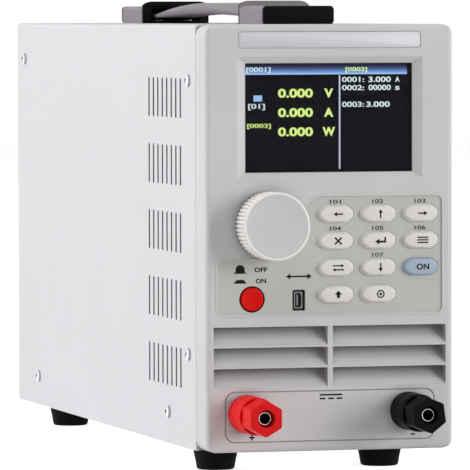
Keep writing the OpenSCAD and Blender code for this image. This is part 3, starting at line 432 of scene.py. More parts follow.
def arc(cx, cz, radius, first, last, steps=10):
    """Points on an arc, with angles in degrees counted from the right."""
    angles = [math.radians(first + (last - first) * i / steps) for i in range(steps + 1)]
    return [(cx + radius * math.cos(a), cz + radius * math.sin(a)) for a in angles]


def polar(radius_at, steps):
    """A closed outline whose radius follows the angle."""
    angles = [2 * math.pi * i / steps for i in range(steps)]
    return [(radius_at(a) * math.cos(a), radius_at(a) * math.sin(a)) for a in angles]


def circle(radius, steps):
    return polar(lambda angle: radius, steps)


def soft_box(left, right, low, high, corner, steps=6):
    """A box with four round corners."""
    turns = ((right - corner, high - corner), (left + corner, high - corner),
             (left + corner, low + corner), (right - corner, low + corner))
    return [p for i, (x, z) in enumerate(turns) for p in arc(x, z, corner, 90 * i, 90 * i + 90, steps)]


def grown(outline, factor):
    return [(x * factor, z * factor) for x, z in outline]


def turned(profile, x, z, steps=72, loop=False):
    """A lathe shape about an axis that runs into the front; the profile is (radius, depth) pairs."""
    return through_rings([ring_at(circle(r, steps), d, x, z) for r, d in profile], loop)


def rounded(radius, face, edge, steps=5):
    """Profile points from a round side to a front face, over an edge of that radius."""
    return [(r, face + edge - h) for r, h in arc(radius - edge, 0, edge, 0, 90, steps)]


print("a round edge has", len(rounded(5, 0, 1)), "points")

# %% [markdown]
# ## The key caps
# Eleven keys share one moulded shape: a long octagon with soft corners, sloping sides and a slightly
# crowned top. A subdivided box would blur the octagon, so the outline is a blend of eight half
# planes: a high power keeps the sides straight and rounds only the corners. Rings of that outline
# climb the slope, roll over the edge and close on the crown. Behind the film a wider skirt fills the
# gap round the key, and the flange at the very back keeps the key from falling out.

# %% Outline and crown of a key
FLANGE_GROW = 0.8
FLANGE_THICK = 1.0
KEY_CORNER = (0.2, 0.3)
KEY_SOFTNESS = 16
KEY_STEPS = 96
KEY_SLOPE = 0.5
KEY_EDGE = 0.35
EDGE_START = 25
EDGE_STEPS = 5
SKIRT_GROW = 0.29
SKIRT_SOFTNESS = 40
SKIRT_FACE = 0.5
CROWN_SHARES = (0.85, 0.65, 0.45, 0.25, 0.08)
key_low, key_high = reach("key_left")
KEY_WIDE = key_high.x - key_low.x - 2 * FLANGE_GROW
KEY_TALL = key_high.z - key_low.z - 2 * FLANGE_GROW
KEY_FACE = key_low.y
KEY_BACK = key_high.y
CROWN_SMALL = 3 * KEY_TALL
CROWN_LONG = 5 * KEY_WIDE
lip = KEY_BACK - FLANGE_THICK
# Growth, softness and depth of the rings from the flange to the foot of the slope
KEY_FOOT = [
    (FLANGE_GROW, SKIRT_SOFTNESS, KEY_BACK), (FLANGE_GROW, SKIRT_SOFTNESS, lip),
    (SKIRT_GROW, SKIRT_SOFTNESS, lip), (SKIRT_GROW, SKIRT_SOFTNESS, SKIRT_FACE + 0.1),
    (SKIRT_GROW - 0.1, SKIRT_SOFTNESS, SKIRT_FACE), (0.06, KEY_SOFTNESS, SKIRT_FACE - 0.02),
    (0, KEY_SOFTNESS, SKIRT_FACE - 0.12),
]


def key_ring(inset, softness=KEY_SOFTNESS):
    """The octagon, drawn in by an inset, round the key's own middle."""
    a, b = KEY_WIDE / 2 - inset, KEY_TALL / 2 - inset
    cut_x, cut_z = KEY_CORNER[0] * KEY_WIDE, KEY_CORNER[1] * KEY_TALL
    length = math.hypot(cut_x, cut_z)
    slant = ((a - cut_x) * cut_z + b * cut_x) / length
    ring = []
    for i in range(KEY_STEPS):
        t = 2 * math.pi * i / KEY_STEPS
        angle = math.atan2(b * math.sin(t), a * math.cos(t))
        c, s = abs(math.cos(angle)), abs(math.sin(angle))
        sides = (c / a, s / b, (c * cut_z + s * cut_x) / length / slant)
        r = sum(side ** softness for side in sides) ** (-1 / softness)
        ring.append((r * math.cos(angle), r * math.sin(angle)))
    return ring


def crown_drop(x, z):
    """How far the crown has fallen back at a place on the key."""
    return z * z / (2 * CROWN_SMALL) + x * x / (2 * CROWN_LONG)


def key_cap(name):
    x0, z0 = middle(name)

    def crowned(outline, rise=0.0):
        return [(x0 + x, KEY_FACE + crown_drop(x, z) + rise, z0 + z) for x, z in outline]

    rings = [ring_at(key_ring(-grow, softness), depth, x0, z0) for grow, softness, depth in KEY_FOOT]
    for step in range(EDGE_STEPS + 1):
        angle = math.radians(EDGE_START + (90 - EDGE_START) * step / EDGE_STEPS)
        outline = key_ring(KEY_SLOPE + KEY_EDGE * (1 - math.cos(angle)))
        rings.append(crowned(outline, KEY_EDGE * (1 - math.sin(angle))))
    top = key_ring(KEY_SLOPE + KEY_EDGE)
    rings += [crowned(grown(top, share)) for share in CROWN_SHARES]
    finish, slot = (KEY_BLUE, "key_blue") if name == "key_on" else (KEY_RUBBER, "key_white")
    make_piece(name.replace("key", "cap"), through_rings(rings), finish, slot, name, name)


KEYS = [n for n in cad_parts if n.startswith("key_") and n != "key_board"]
for key in KEYS:
    key_cap(key)
print(len(KEYS), "caps of", round(KEY_WIDE, 1), "by", round(KEY_TALL, 1), "mm")

# %% [markdown]
# ## The knob
# The big setting knob has a ring of fine grip ribs, a groove in front of them, a round bead and a
# flat face. Fifty separate ribs joined to a cylinder would leave messy seams. Here one skin does it
# all: the radius of each ring swells and shrinks with the angle, and the swelling fades out at the
# groove. Ribs, groove and bead take a lighter copy of the knob plastic, a painted highlight, and only
# the faces of the flat front take the knob's own greyer colour.

# %% Knob
KNOB_RIBS = 50
RIB_DEPTH = 1.15
RIB_SHAPE = 1.1
KNOB_STEPS = KNOB_RIBS * 12
knob_x, knob_z, KNOB_RADIUS, knob_face, knob_foot = round_form("knob")
KNOB_FACE_INSET = 1.3
# Radius, distance in front of the foot and share of the ribs, from the hollow back to the side
KNOB_BACK_ROWS = [
    (3.2, 4.5, 0), (7.5, 4.5, 0), (7.5, 0, 0), (14.4, 0, 0),
    (KNOB_RADIUS - 0.2, 0.1, 0.6), (KNOB_RADIUS, 0.7, 1),
]
# Inset from the full radius, distance behind the face and share of the ribs, over groove and bead
KNOB_FRONT_ROWS = [
    (0, 2.7, 1), (0.2, 2.5, 0.9), (0.9, 2.4, 0.05), (0.95, 2.2, 0), (0.95, 1.5, 0), (0.6, 1.35, 0),
    (0.15, 1.1, 0), (0, 0.8, 0), (0.1, 0.45, 0), (0.4, 0.15, 0), (0.75, 0, 0), (1.1, 0.06, 0),
    (KNOB_FACE_INSET, 0.2, 0), (1.6, 0.24, 0), (KNOB_RADIUS - 4.0, 0.24, 0),
]


def knob_ring(radius, depth, ribbed):
    def ribs(angle):
        return radius - (1 - abs(math.cos(KNOB_RIBS * angle / 2)) ** RIB_SHAPE) * RIB_DEPTH * ribbed

    return ring_at(polar(ribs, KNOB_STEPS), depth, knob_x, knob_z)


rings = [knob_ring(r, knob_foot - d, ribbed) for r, d, ribbed in KNOB_BACK_ROWS]
rings += [knob_ring(KNOB_RADIUS - inset, knob_face + d, ribbed) for inset, d, ribbed in KNOB_FRONT_ROWS]
grip = make_piece("grip_knob", through_rings(rings), KNOB_LIT_COPY, "knob_plastic", "knob", "knob", crease=50)
# Painted highlight: the skin keeps the lighter copy, and only the flat face takes the knob's own colour.
grip.data.materials.append(KNOB_PLASTIC)
face_middle = spot(knob_x, knob_face, knob_z)
for polygon in grip.data.polygons:
    from_middle = (polygon.center - face_middle).length / MM
    polygon.material_index = int(from_middle < KNOB_RADIUS - KNOB_FACE_INSET)
print("knob of", round(2 * KNOB_RADIUS, 1), "mm with", KNOB_RIBS, "ribs")

# %% [markdown]
# ## The power button
# The red button latches nearly flush in its hole. The dark gap round it is a black ring: partly the
# bush that guides the button, partly painted shade for the gap. Both are lathe shapes. The button
# keeps its flange and rod, so that it still looks whole when it springs out.

# %% Power button and the black ring of bush and painted shade round it
BUTTON_RADIUS = 5.5
BUTTON_ROD = BUTTON_RADIUS - 2
BUTTON_EDGE = 0.7
BUTTON_DISH = [(4.3, 0.05), (3.9, 0.16), (1.5, 0.2)]
FLANGE_FRONT = 6.7
FLANGE_BACK = FLANGE_FRONT + 1
SHADE_BUSH_INNER, SHADE_BUSH_OUTER = 5.62, 6.15
SHADE_BUSH_FRONT, SHADE_BUSH_BACK = 0.3, 1.4
button_x, button_z, flange, button_face, rod_end = round_form("power_button")
profile = [(BUTTON_ROD, rod_end), (BUTTON_ROD, FLANGE_BACK), (flange, FLANGE_BACK), (flange, FLANGE_FRONT)]
profile += [(BUTTON_RADIUS, FLANGE_FRONT)] + rounded(BUTTON_RADIUS, button_face, BUTTON_EDGE)
profile += [(r, button_face + d) for r, d in BUTTON_DISH]
shape = turned(profile, button_x, button_z)
make_piece("red_button", shape, BUTTON_RED, "button_red", "power_button", "power_button")
# The black ring stands for the guide bush and paints the shade of the gap round the button.
profile = [(SHADE_BUSH_INNER, SHADE_BUSH_BACK), (SHADE_BUSH_OUTER, SHADE_BUSH_BACK), (SHADE_BUSH_OUTER, SHADE_BUSH_FRONT + 0.1),
           (SHADE_BUSH_OUTER - 0.1, SHADE_BUSH_FRONT), (SHADE_BUSH_INNER + 0.3, SHADE_BUSH_FRONT), (SHADE_BUSH_INNER, SHADE_BUSH_FRONT + 0.3)]
make_piece("button_bush_and_gap_shade", turned(profile, button_x, button_z, loop=True), POST_BLACK, "switch_black")
print("button at", round(button_x, 1), round(button_z, 1), "mm")

# %% [markdown]
# ## The binding posts
# Each post has a round collar on the front, a plated stud with a plug socket in its end, and a
# thumb nut that is round behind and hexagonal in front. The nut is the tricky one: its rings change
# from a circle to a hexagon. The same blend of half planes as in the keys gives the hexagon soft
# edges. Where a flat runs out against the round part it is sunk a little, which leaves the dark
# crescents that a milled flat has.

# %% Collar and stud
STUD_RADIUS = 3.1
STUD_STEPS = 48
AXIS_HOLE = 0.4
JACK_RADIUS = 2.05
JACK_DEPTH = 21
SOCKET_BORE_RADIUS = 2.55
COLLAR_BORE = STUD_RADIUS + 0.05
COLLAR_NECK = 5.5
COLLAR_EDGE = 0.7
# Inset and depth of the collar's side, with a groove round it
COLLAR_SIDE = [(0.3, 0), (0, -0.3), (0, -2.6), (0.35, -2.9), (0.35, -3.5), (0, -3.8)]


def post_collar(colour, finish):
    node = f"{colour}_post_base"
    x, z, radius, front, back = round_form(node)
    profile = [(COLLAR_BORE, back), (COLLAR_NECK, back), (COLLAR_NECK, 0)]
    profile += [(radius - inset, depth) for inset, depth in COLLAR_SIDE]
    profile += rounded(radius, front, COLLAR_EDGE) + [(COLLAR_BORE, front)]
    shape = turned(profile, x, z, loop=True)
    make_piece(f"{colour}_collar", shape, finish, f"post_{colour}", node)


def post_stud(colour):
    """The plated stud, and a dark liner down its plug socket, painted shade for the deep hole."""
    node = f"{colour}_post_stud"
    x, z, _, tip, end = round_form(node)
    floor = tip + JACK_DEPTH
    profile = [(AXIS_HOLE, end), (STUD_RADIUS - 0.4, end), (STUD_RADIUS, end - 0.5)]
    profile += rounded(STUD_RADIUS, tip, 0.25, 3)
    profile += [(SOCKET_BORE_RADIUS + 0.1, tip), (SOCKET_BORE_RADIUS, tip + 0.15), (SOCKET_BORE_RADIUS, floor)]
    profile += [(AXIS_HOLE, floor + 0.6)]
    make_piece(f"{colour}_stud", turned(profile, x, z, STUD_STEPS), PLATED, "post_metal", node)
    # The black liner is painted shade for the deep socket.
    wall = SOCKET_BORE_RADIUS - 0.02
    deep = floor - 0.02
    profile = [(AXIS_HOLE, deep), (wall, deep), (wall, tip + 0.3), (wall - 0.15, tip + 0.2)]
    profile += [(JACK_RADIUS + 0.15, tip + 0.2), (JACK_RADIUS, tip + 0.5), (JACK_RADIUS, deep - 0.4)]
    profile += [(AXIS_HOLE, deep - 0.3)]
    make_piece(f"{colour}_shade_liner", turned(profile, x, z, STUD_STEPS), POST_BLACK, "post_black")


POST_FINISHES = {"red": POST_RED, "black": POST_BLACK}
for colour, finish in POST_FINISHES.items():
    post_collar(colour, finish)
    post_stud(colour)
print("collars, studs and shade_liners for two posts")

# %% Thumb nut
NUT_ROUND = 11.0
NUT_MOUTH = 4.05
NUT_MOUTH_DEEP = 6.0
NUT_BORE = STUD_RADIUS + 0.06
NUT_STEPS = 144
HEX_FLATS = 15.0
HEX_SOFTNESS = 30
HEX_TURN = {"red": 0, "black": 8}
FLAT_SINK = 0.7
WASHER_RADIUS, WASHER_DEEP = 6.85, 0.85


def hex_radius(angle, flats):
    """Distance from the axis to a soft hexagon that is this wide across its flats."""
    sides = [math.cos(angle - math.pi / 3 * k) / (flats / 2) for k in range(6)]
    return sum(max(0, s) ** HEX_SOFTNESS for s in sides) ** (-1 / HEX_SOFTNESS)


def thumb_nut(colour, finish):
    node = f"{colour}_post_nut"
    x, z, radius, tip, rear = round_form(node)
    shoulder = rear - NUT_ROUND
    mouth, seat = tip + NUT_MOUTH_DEEP, rear - WASHER_DEEP
    start = math.radians(HEX_TURN[colour])

    def hex_ring(flats, depth, sink=0.0):
        ring = []
        for a, b in polar(lambda angle: hex_radius(angle - start, flats), NUT_STEPS):
            hollow = sink * max(0.0, radius - math.hypot(a, b)) / (radius - flats / 2)
            ring.append((x + a, depth + hollow, z + b))
        return ring

    behind = [(WASHER_RADIUS, rear), (radius - 0.5, rear), (radius, rear - 0.5), (radius, shoulder + 0.5),
              (radius - 0.12, shoulder + 0.12), (radius - 0.4, shoulder)]
    hexagons = [(HEX_FLATS, shoulder - 0.05, FLAT_SINK), (HEX_FLATS, shoulder - 0.6), (HEX_FLATS, tip + 0.6),
                (HEX_FLATS - 0.2, tip + 0.22), (HEX_FLATS - 0.7, tip)]
    bore = [(NUT_MOUTH + 0.35, tip), (NUT_MOUTH, tip + 0.35), (NUT_MOUTH, mouth), (NUT_BORE, mouth),
            (NUT_BORE, seat), (WASHER_RADIUS, seat)]
    rings = [ring_at(circle(r, NUT_STEPS), depth, x, z) for r, depth in behind]
    rings += [hex_ring(*row) for row in hexagons]
    rings += [ring_at(circle(r, NUT_STEPS), depth, x, z) for r, depth in bore]
    shape = through_rings(rings, loop=True)
    make_piece(f"{colour}_thumb_nut", shape, finish, f"post_{colour}", node, f"{colour}_nut", crease=30)


for colour, finish in POST_FINISHES.items():
    thumb_nut(colour, finish)
print("thumb nuts", HEX_FLATS, "mm across the flats")

# %% [markdown]
# ## The feet
# Four rubber feet taper towards the floor and have a rounded lower edge and a well for their screw.
# They are lathe shapes about an upright axis, so the rings are written with height in place of depth.

# %% Rubber feet
WELL_RADIUS, WELL_DEEP = 5.2, 4.0
FOOT_HOLE = 2.2
FOOT_TAPER = 1.7
FOOT_EDGE = 1.4
FOOT_STEPS = 64


def rubber_foot(node):
    low, high = reach(node)
    x, y = (low.x + high.x) / 2, (low.y + high.y) / 2
    wide = (high.x - low.x) / 2
    tip = wide - FOOT_TAPER
    ground, top = low.z, high.z
    well = ground + WELL_DEEP
    profile = [(WELL_RADIUS, ground + 0.3), (WELL_RADIUS + 0.3, ground)]
    profile += arc(tip - FOOT_EDGE, ground + FOOT_EDGE, FOOT_EDGE, -90, 0, 6)
    profile += [(tip + 0.55, ground + 4.5), (wide - 0.3, top - 0.5), (wide - 0.45, top)]
    profile += [(FOOT_HOLE, top), (FOOT_HOLE, well), (WELL_RADIUS, well)]
    rings = [[(x + a, y + b, height) for a, b in circle(r, FOOT_STEPS)] for r, height in profile]
    shape = through_rings(rings, loop=True)
    make_piece(node.replace("foot", "rubber"), shape, FOOT_RUBBER, "foot_rubber", node)


for node in [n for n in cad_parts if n.startswith("foot_") and n != "foot_screws"]:
    rubber_foot(node)
print("four rubber feet")

# %% [markdown]
# ## The carrying handle
# The handle is a springy grey strap whose ends slide in two mounts. Each mount is a black base with
# a blunt closed end and an open mouth, and a low grey hood whose rim rises to the mouth. Hood and
# strap are drawn through rounded outlines along their length, and the base is three soft-edged blocks
# in one mesh. A Bevel modifier could soften them too, but rings with their own corners keep the long
# flat sides free of thin triangles. The faces inside the hood and its end face at the mouth get the
# base's black finish.

# %% Handle outlines
HOOD_THICK = 1.2
HOOD_CORNER = 2.0
FRAME_CORNER = (5.6, 2.8)
BLUNT_END = 2.0
MOUTH_FRAME = 2.0
BASE_FLOOR = 1.4
BEND_STEPS = 8


def arch(width, top, wide_corner, tall_corner=None):
    """Upright outline that stands on zero, with two rounded upper corners."""
    tall_corner = tall_corner or wide_corner
    half = width / 2
    quarter = arc(0, 0, 1, 0, 90, BEND_STEPS)
    bend = [(half - wide_corner * (1 - c), top - tall_corner * (1 - s)) for c, s in quarter]
    return [(half, 0)] + bend + [(-x, z) for x, z in reversed(bend)] + [(-half, 0)]


def pill(width, low, high, soft):
    """Outline with four rounded corners between two heights."""
    return soft_box(-width / 2, width / 2, low, high, min(soft, (high - low) / 2 - 0.01))


def mount_frame(which):
    """A function that sets outlines along one handle mount, its direction, width, length and height."""
    low, high = reach(f"handle_base_{which}")
    start, way = (low.y, 1) if which == "front" else (high.y, -1)

    def ring(depth, outline):
        return ring_at(outline, start + way * depth, 0, CASE_HEIGHT)

    return ring, way, high.x - low.x, high.y - low.y, high.z - CASE_HEIGHT


print("mounts:", [round(v, 1) for v in mount_frame("front")[1:]])

# %% Handle mounts
HOOD_LOW = 8.7
MOUTH_WIDE = 26.0
MOUTH_TOP = 8.8
RIM_THICK = 1.2
RIM_UNDER = 0.25
PLUG_CORNER = 1.9
PLUG_SOFT = 0.8


def handle_base(which):
    ring, _, width, length, tall = mount_frame(which)
    plug = []
    for c, s in arc(0, 0, 1, 0, 90, 4):
        inset = PLUG_SOFT * (1 - s)
        outline = pill(width - 2 * inset, inset, HOOD_LOW - inset, PLUG_CORNER)
        plug.append(ring(PLUG_SOFT * (1 - c), outline))
    plug.append(ring(BLUNT_END, pill(width, 0, HOOD_LOW, PLUG_CORNER)))
    near, far = length - MOUTH_FRAME, length
    plate = arch(width - 2 * HOOD_THICK - 0.2, BASE_FLOOR, 0.3)
    sole = [ring(depth, plate) for depth in (BLUNT_END - 0.01, near + 0.01)]
    gap = [(x, BASE_FLOOR + z) for x, z in arch(MOUTH_WIDE, MOUTH_TOP - BASE_FLOOR, 1.0)]
    rim = arch(width, tall, *FRAME_CORNER)
    rim_soft = arch(width - 0.6, tall - 0.3, *FRAME_CORNER)
    mouth = [ring(near, gap), ring(near, rim), ring(far - 0.4, rim), ring(far, rim_soft), ring(far, gap)]
    shape = joined([through_rings(plug), through_rings(sole), through_rings(mouth, loop=True)])
    make_piece(f"mount_{which}", shape, HANDLE_BLACK, "handle_black", f"handle_base_{which}")


def handle_hood(which):
    ring, way, width, length, tall = mount_frame(which)
    first, last = BLUNT_END + 0.1, length - MOUTH_FRAME - 0.1
    step = last - RIM_THICK
    rim_top = tall - RIM_UNDER
    inner_wide, inner_top = width - 2 * HOOD_THICK, HOOD_LOW - HOOD_THICK
    inner_corner = HOOD_CORNER - HOOD_THICK
    rows = [
        (first, width - 0.6, HOOD_LOW - 0.3, HOOD_CORNER - 0.3),
        (first + 0.3, width, HOOD_LOW, HOOD_CORNER),
        (step - 0.1, width, HOOD_LOW, HOOD_CORNER),
        (step, width, HOOD_LOW + 0.15, HOOD_CORNER + 0.1),
        (step + 0.05, width, rim_top - 0.3, *FRAME_CORNER),
        (step + 0.35, width, rim_top, *FRAME_CORNER),
        (last, width, rim_top, *FRAME_CORNER),
        (last, inner_wide, inner_top, inner_corner),
        (first, inner_wide, inner_top, inner_corner),
    ]
    rings = [ring(depth, arch(*size)) for depth, *size in rows]
    shape = through_rings(rings, loop=True)
    hood = make_piece(f"hood_{which}", shape, HANDLE_GREY, "handle_grey", f"handle_hood_{which}")
    hood.data.materials.append(HANDLE_BLACK)
    for polygon in hood.data.polygons:
        beside = abs(polygon.center.x) / MM < inner_wide / 2 + 0.1
        below = polygon.center.z / MM - BOTTOM - CASE_HEIGHT < inner_top + 0.1
        polygon.material_index = int(beside and below or polygon.normal.y * way > 0.9)


for which in ("front", "rear"):
    handle_base(which)
    handle_hood(which)
print("two mounts with hoods")

# %% Strap
STRAP_UNDER = 4.7
STRAP_SOFT = 3.0
STRAP_STEPS = 48
TONGUE_LOW, TONGUE_THICK, TONGUE_LONG = 2.9, 1.7, 22.0
strap_low, strap_high = reach("handle_strap")
STRAP_TOP = strap_high.z - CASE_HEIGHT
strap_mid = (strap_low.y + strap_high.y) / 2
strap_half = (strap_high.y - strap_low.y) / 2


def strap_outline(offset):
    """The strap's outline at a distance from its middle: two shallow arches, then flat tongues."""
    share = min(1.0, abs(offset) / (strap_half - TONGUE_LONG)) ** 2
    under = STRAP_UNDER + (TONGUE_LOW - STRAP_UNDER) * share
    over = STRAP_TOP + (TONGUE_LOW + TONGUE_THICK - STRAP_TOP) * share
    return pill(strap_high.x - strap_low.x, under, over, STRAP_SOFT)


offsets = [strap_half * (2 * i / STRAP_STEPS - 1) for i in range(STRAP_STEPS + 1)]
rings = [ring_at(strap_outline(offset), strap_mid + offset, 0, CASE_HEIGHT) for offset in offsets]
make_piece("grip_strap", through_rings(rings), HANDLE_GREY, "handle_grey", "handle_strap", "strap")
print("strap", round(2 * strap_half), "mm long,", round(STRAP_TOP, 1), "mm over the case")

# %% [markdown]
# ## Ridges and plates on the front
# A fine raised ridge runs round the control field and swings about the knob. It is drawn as a path
# of straight runs and arcs, and a small half-round section follows it. The bare name strip above
# the screen and the black plate round the data socket are thin plates with rounded corners.

# %% Ridge round the control field
film_low, film_high = reach("control_overlay")
FIELD_CORNER = 3.2
FIELD_SHOULDER = 9.0
FIELD_STEP = 26.4
SWING = 17.0
RIDGE_HALF = 0.5
RIDGE_OUT = 0.24
RIDGE_ROOT = 0.45


def field_path():
    """The control field's edge, anticlockwise from its lower left corner."""
    left, right, low, high = film_low.x, film_high.x, film_low.z, film_high.z
    step = low + FIELD_STEP
    c, s = FIELD_CORNER, FIELD_SHOULDER
    path = arc(left + c, low + c, c, 180, 270) + arc(right - c, low + c, c, 270, 360)
    path += arc(right - c, high - c, c, 0, 90) + arc(knob_x + SWING + s, high - s, s, 90, 180)
    path += arc(knob_x, step + SWING, SWING, 0, -90, 20) + arc(left + c, step - c, c, 90, 180)
    return path


def follow_path(path, section):
    """A section, given as (outwards, depth) pairs, that follows a closed path on the front."""
    rings = []
    for i, here in enumerate(path):
        before, after = path[i - 1], path[(i + 1) % len(path)]
        dx, dz = after[0] - before[0], after[1] - before[1]
        length = math.hypot(dx, dz) or 1
        out = (dz / length, -dx / length)
        rings.append([(here[0] + out[0] * w, d, here[1] + out[1] * w) for w, d in section])
    return through_rings(rings, loop=True)


half_round = [(-RIDGE_HALF, RIDGE_ROOT), (RIDGE_HALF, RIDGE_ROOT), (RIDGE_HALF, 0.0)]
half_round += [(RIDGE_HALF * math.cos(a), -RIDGE_OUT * math.sin(a)) for a in (0.6, 1.1, 1.57, 2.04, 2.54)]
half_round += [(-RIDGE_HALF, 0.0)]
shape = follow_path(field_path(), half_round)
make_piece("control_ridge", shape, FRONT_PLASTIC, "bezel_plastic", crease=60)
print("ridge with", len(shape[0]), "points")

# %% Plates
NAME_STRIP = (-44.0, 44.0, CASE_HEIGHT - 10.85, CASE_HEIGHT - 3.45)
STRIP_CORNER = 1.5
STRIP_ROWS = [(0.42, 0), (0.22, 0), (0.12, 0.15)]
SOCKET_HOLE = (3.05, 4.8)
SOCKET_NOSE = (2.0, 3.9)
SOCKET_CORNER = 0.6
SOCKET_ROWS = [(SOCKET_NOSE, 2.6), (SOCKET_HOLE, 2.6), (SOCKET_HOLE, 1.6), (SOCKET_NOSE, 1.6)]


def plate(box, corner, rows, loop=False):
    """A plate over (left, right, low, high) with round corners; its rows are (depth, inset) pairs."""
    left, right, low, high = box
    rings = []
    for depth, inset in rows:
        outline = soft_box(left + inset, right - inset, low + inset, high - inset, corner - inset)
        rings.append(ring_at(outline, depth))
    return through_rings(rings, loop)


make_piece("name_strip", plate(NAME_STRIP, STRIP_CORNER, STRIP_ROWS), NAME_FILM, "overlay_film")
socket_x, socket_z = middle("usb_socket")
rings = []
for (wide, tall), depth in SOCKET_ROWS:
    outline = soft_box(-wide, wide, -tall, tall, SOCKET_CORNER)
    rings.append(ring_at(outline, depth, socket_x, socket_z))
make_piece("socket_plate", through_rings(rings, loop=True), DARK_PLASTIC, "switch_black")
print("name strip and socket plate")

# %% [markdown]
# ## Printed signs
# The film and the keys carry dark printed signs. The lettering here is plain: numbers, arrows, OFF
# and ON. A texture could print them, but thin solids stay crisp at any size and need no image. Text
# comes from a font curve turned into a mesh, and signs from short outlines. On the keys the print
# follows the crown, so its faces are split finely and each point is set back by the crown's drop.

# %% Print helpers
PRINT_THICK = 0.06
PRINT_SPLIT = 0.9


def solid_sign(outlines, x, z, depth):
    """Flat outlines with the thickness of a print, in front of a depth."""
    slabs = [[ring_at(o, d, x, z) for d in (depth - PRINT_THICK, depth)] for o in outlines]
    return joined([through_rings(slab) for slab in slabs])


def solid_text(words, height, x, z, depth, bold, width):
    """Words of a height and a width, centred on a place."""
    curve = bpy.data.curves.new("words", "FONT")
    curve.body = words
    curve.extrude = 0.01
    curve.offset = bold
    curve.resolution_u = 4
    holder = add_object("words", curve)
    drawn = bpy.data.meshes.new_from_object(holder.evaluated_get(bpy.context.evaluated_depsgraph_get()))
    spots = [v.co.copy() for v in drawn.vertices]
    faces = [tuple(f.vertices) for f in drawn.polygons]
    bpy.data.objects.remove(holder)
    bpy.data.curves.remove(curve)
    bpy.data.meshes.remove(drawn)
    xs, ys = [p.x for p in spots], [p.y for p in spots]
    spread, size = width / (max(xs) - min(xs)), height / (max(ys) - min(ys))
    mid_x, mid_y = (min(xs) + max(xs)) / 2, (min(ys) + max(ys)) / 2
    points = []
    for p in spots:
        level = depth - PRINT_THICK if p.z > 0 else depth
        points.append((x + (p.x - mid_x) * spread, level, z + (p.y - mid_y) * size))
    return points, faces


def on_crown(piece, key):
    """Split a print finely and lay it on the crown of a key."""
    x0, z0 = middle(key)
    work = bmesh.new()
    work.from_mesh(piece.data)
    bmesh.ops.triangulate(work, faces=work.faces)
    for _ in range(3):
        long_edges = [e for e in work.edges if e.calc_length() > PRINT_SPLIT * MM]
        bmesh.ops.subdivide_edges(work, edges=long_edges, cuts=1)
        bmesh.ops.triangulate(work, faces=work.faces)
    for v in work.verts:
        v.co.y += crown_drop(v.co.x / MM - x0, v.co.z / MM - BOTTOM - z0) * MM
    work.to_mesh(piece.data)
    work.free()


print("print is", PRINT_THICK, "mm thick")

# %% Sign outlines
def turned_by(outline, degrees):
    c, s = math.cos(math.radians(degrees)), math.sin(math.radians(degrees))
    return [(x * c - y * s, x * s + y * c) for x, y in outline]


def moved(outline, dx, dy):
    return [(x + dx, y + dy) for x, y in outline]


def bar(width, tall, dx=0.0, dy=0.0):
    a, b = width / 2, tall / 2
    return moved([(-a, -b), (a, -b), (a, b), (-a, b)], dx, dy)


def arrow(length, degrees=0.0, head=1.1, stem=0.34):
    h = length / 2
    neck = h - 1.5 * head
    outline = [(-h, -stem), (neck, -stem), (neck, -head), (h, 0), (neck, head), (neck, stem), (-h, stem)]
    return turned_by(outline, degrees)


def cross(arm, half, degrees=0.0):
    quarter = [(half, arm), (-half, arm), (-half, half)]
    outline = [p for turn in range(4) for p in turned_by(quarter, 90 * turn)]
    return turned_by(outline, degrees)


def half_ring(outer, inner, first, last, steps=14):
    return arc(0, 0, outer, first, last, steps) + list(reversed(arc(0, 0, inner, first, last, steps)))


ENTER_SIGN = [(1.5, 1.35), (2.2, 1.35), (2.2, -0.85), (-0.5, -0.85), (-0.5, -1.55), (-2.3, -0.45),
              (-0.5, 0.65), (-0.5, -0.1), (1.5, -0.1)]
UP_SIGN = [(-0.7, -1.4), (0.7, -1.4), (0.7, 0.05), (1.7, 0.05), (0, 1.6), (-1.7, 0.05), (-0.7, 0.05)]
KEY_SIGNS = {
    "key_left": [arrow(4.6, 180)],
    "key_up": [arrow(4.2, 90)],
    "key_right": [arrow(4.6)],
    "key_down": [arrow(4.2, 270)],
    "key_back": [cross(2.3, 0.38, 45)],
    "key_enter": [grown(ENTER_SIGN, 1.2)],
    "key_mode": [bar(5.4, 0.62, 0, dy) for dy in (-1.2, 0.0, 1.2)],
    "key_channel": [moved(arrow(5.6, turn, 0.9, 0.31), 0, dy) for turn, dy in ((0, 0.95), (180, -0.95))],
    "key_shift": [grown(UP_SIGN, 1.1)],
    "key_local": [half_ring(1.9, 1.3, 0, 180), half_ring(1.9, 1.3, 180, 360), arc(0, 0, 0.65, 0, 342, 18)],
}
print("signs for", len(KEY_SIGNS), "keys")

# %% Prints on the keys and on the film
FILM_FACE = film_low.y
PRINT_RAISE = 0.02
SIGN_SHIFT = 0.7
SIGN_FACE = KEY_FACE + PRINT_RAISE
INK_SLOT = "switch_black"
NUMBERED = ["key_left", "key_up", "key_right", "key_back", "key_enter", "key_mode", "key_down"]
NUMBER_UP = 5.75
FIRST_NUMBER = 101


def key_print(key, shape):
    on_crown(make_piece(key.replace("key", "sign"), shape, INK, INK_SLOT, body=key, crease=60), key)


def front_print(name, shape):
    make_piece(name, shape, INK, INK_SLOT)


for key, outlines in KEY_SIGNS.items():
    x, z = middle(key)
    key_print(key, solid_sign(outlines, x + SIGN_SHIFT, z, SIGN_FACE))
x, z = middle("key_on")
key_print("key_on", solid_text("ON", 2.8, x + SIGN_SHIFT, z, SIGN_FACE, bold=0.03, width=6.2))
for number, key in enumerate(NUMBERED, FIRST_NUMBER):
    x, z = middle(key)
    words = solid_text(str(number), 1.9, x, z + NUMBER_UP, FILM_FACE, bold=0.012, width=5.4)
    front_print(f"number_{number}", words)
print("prints on the keys and", len(NUMBERED), "numbers")

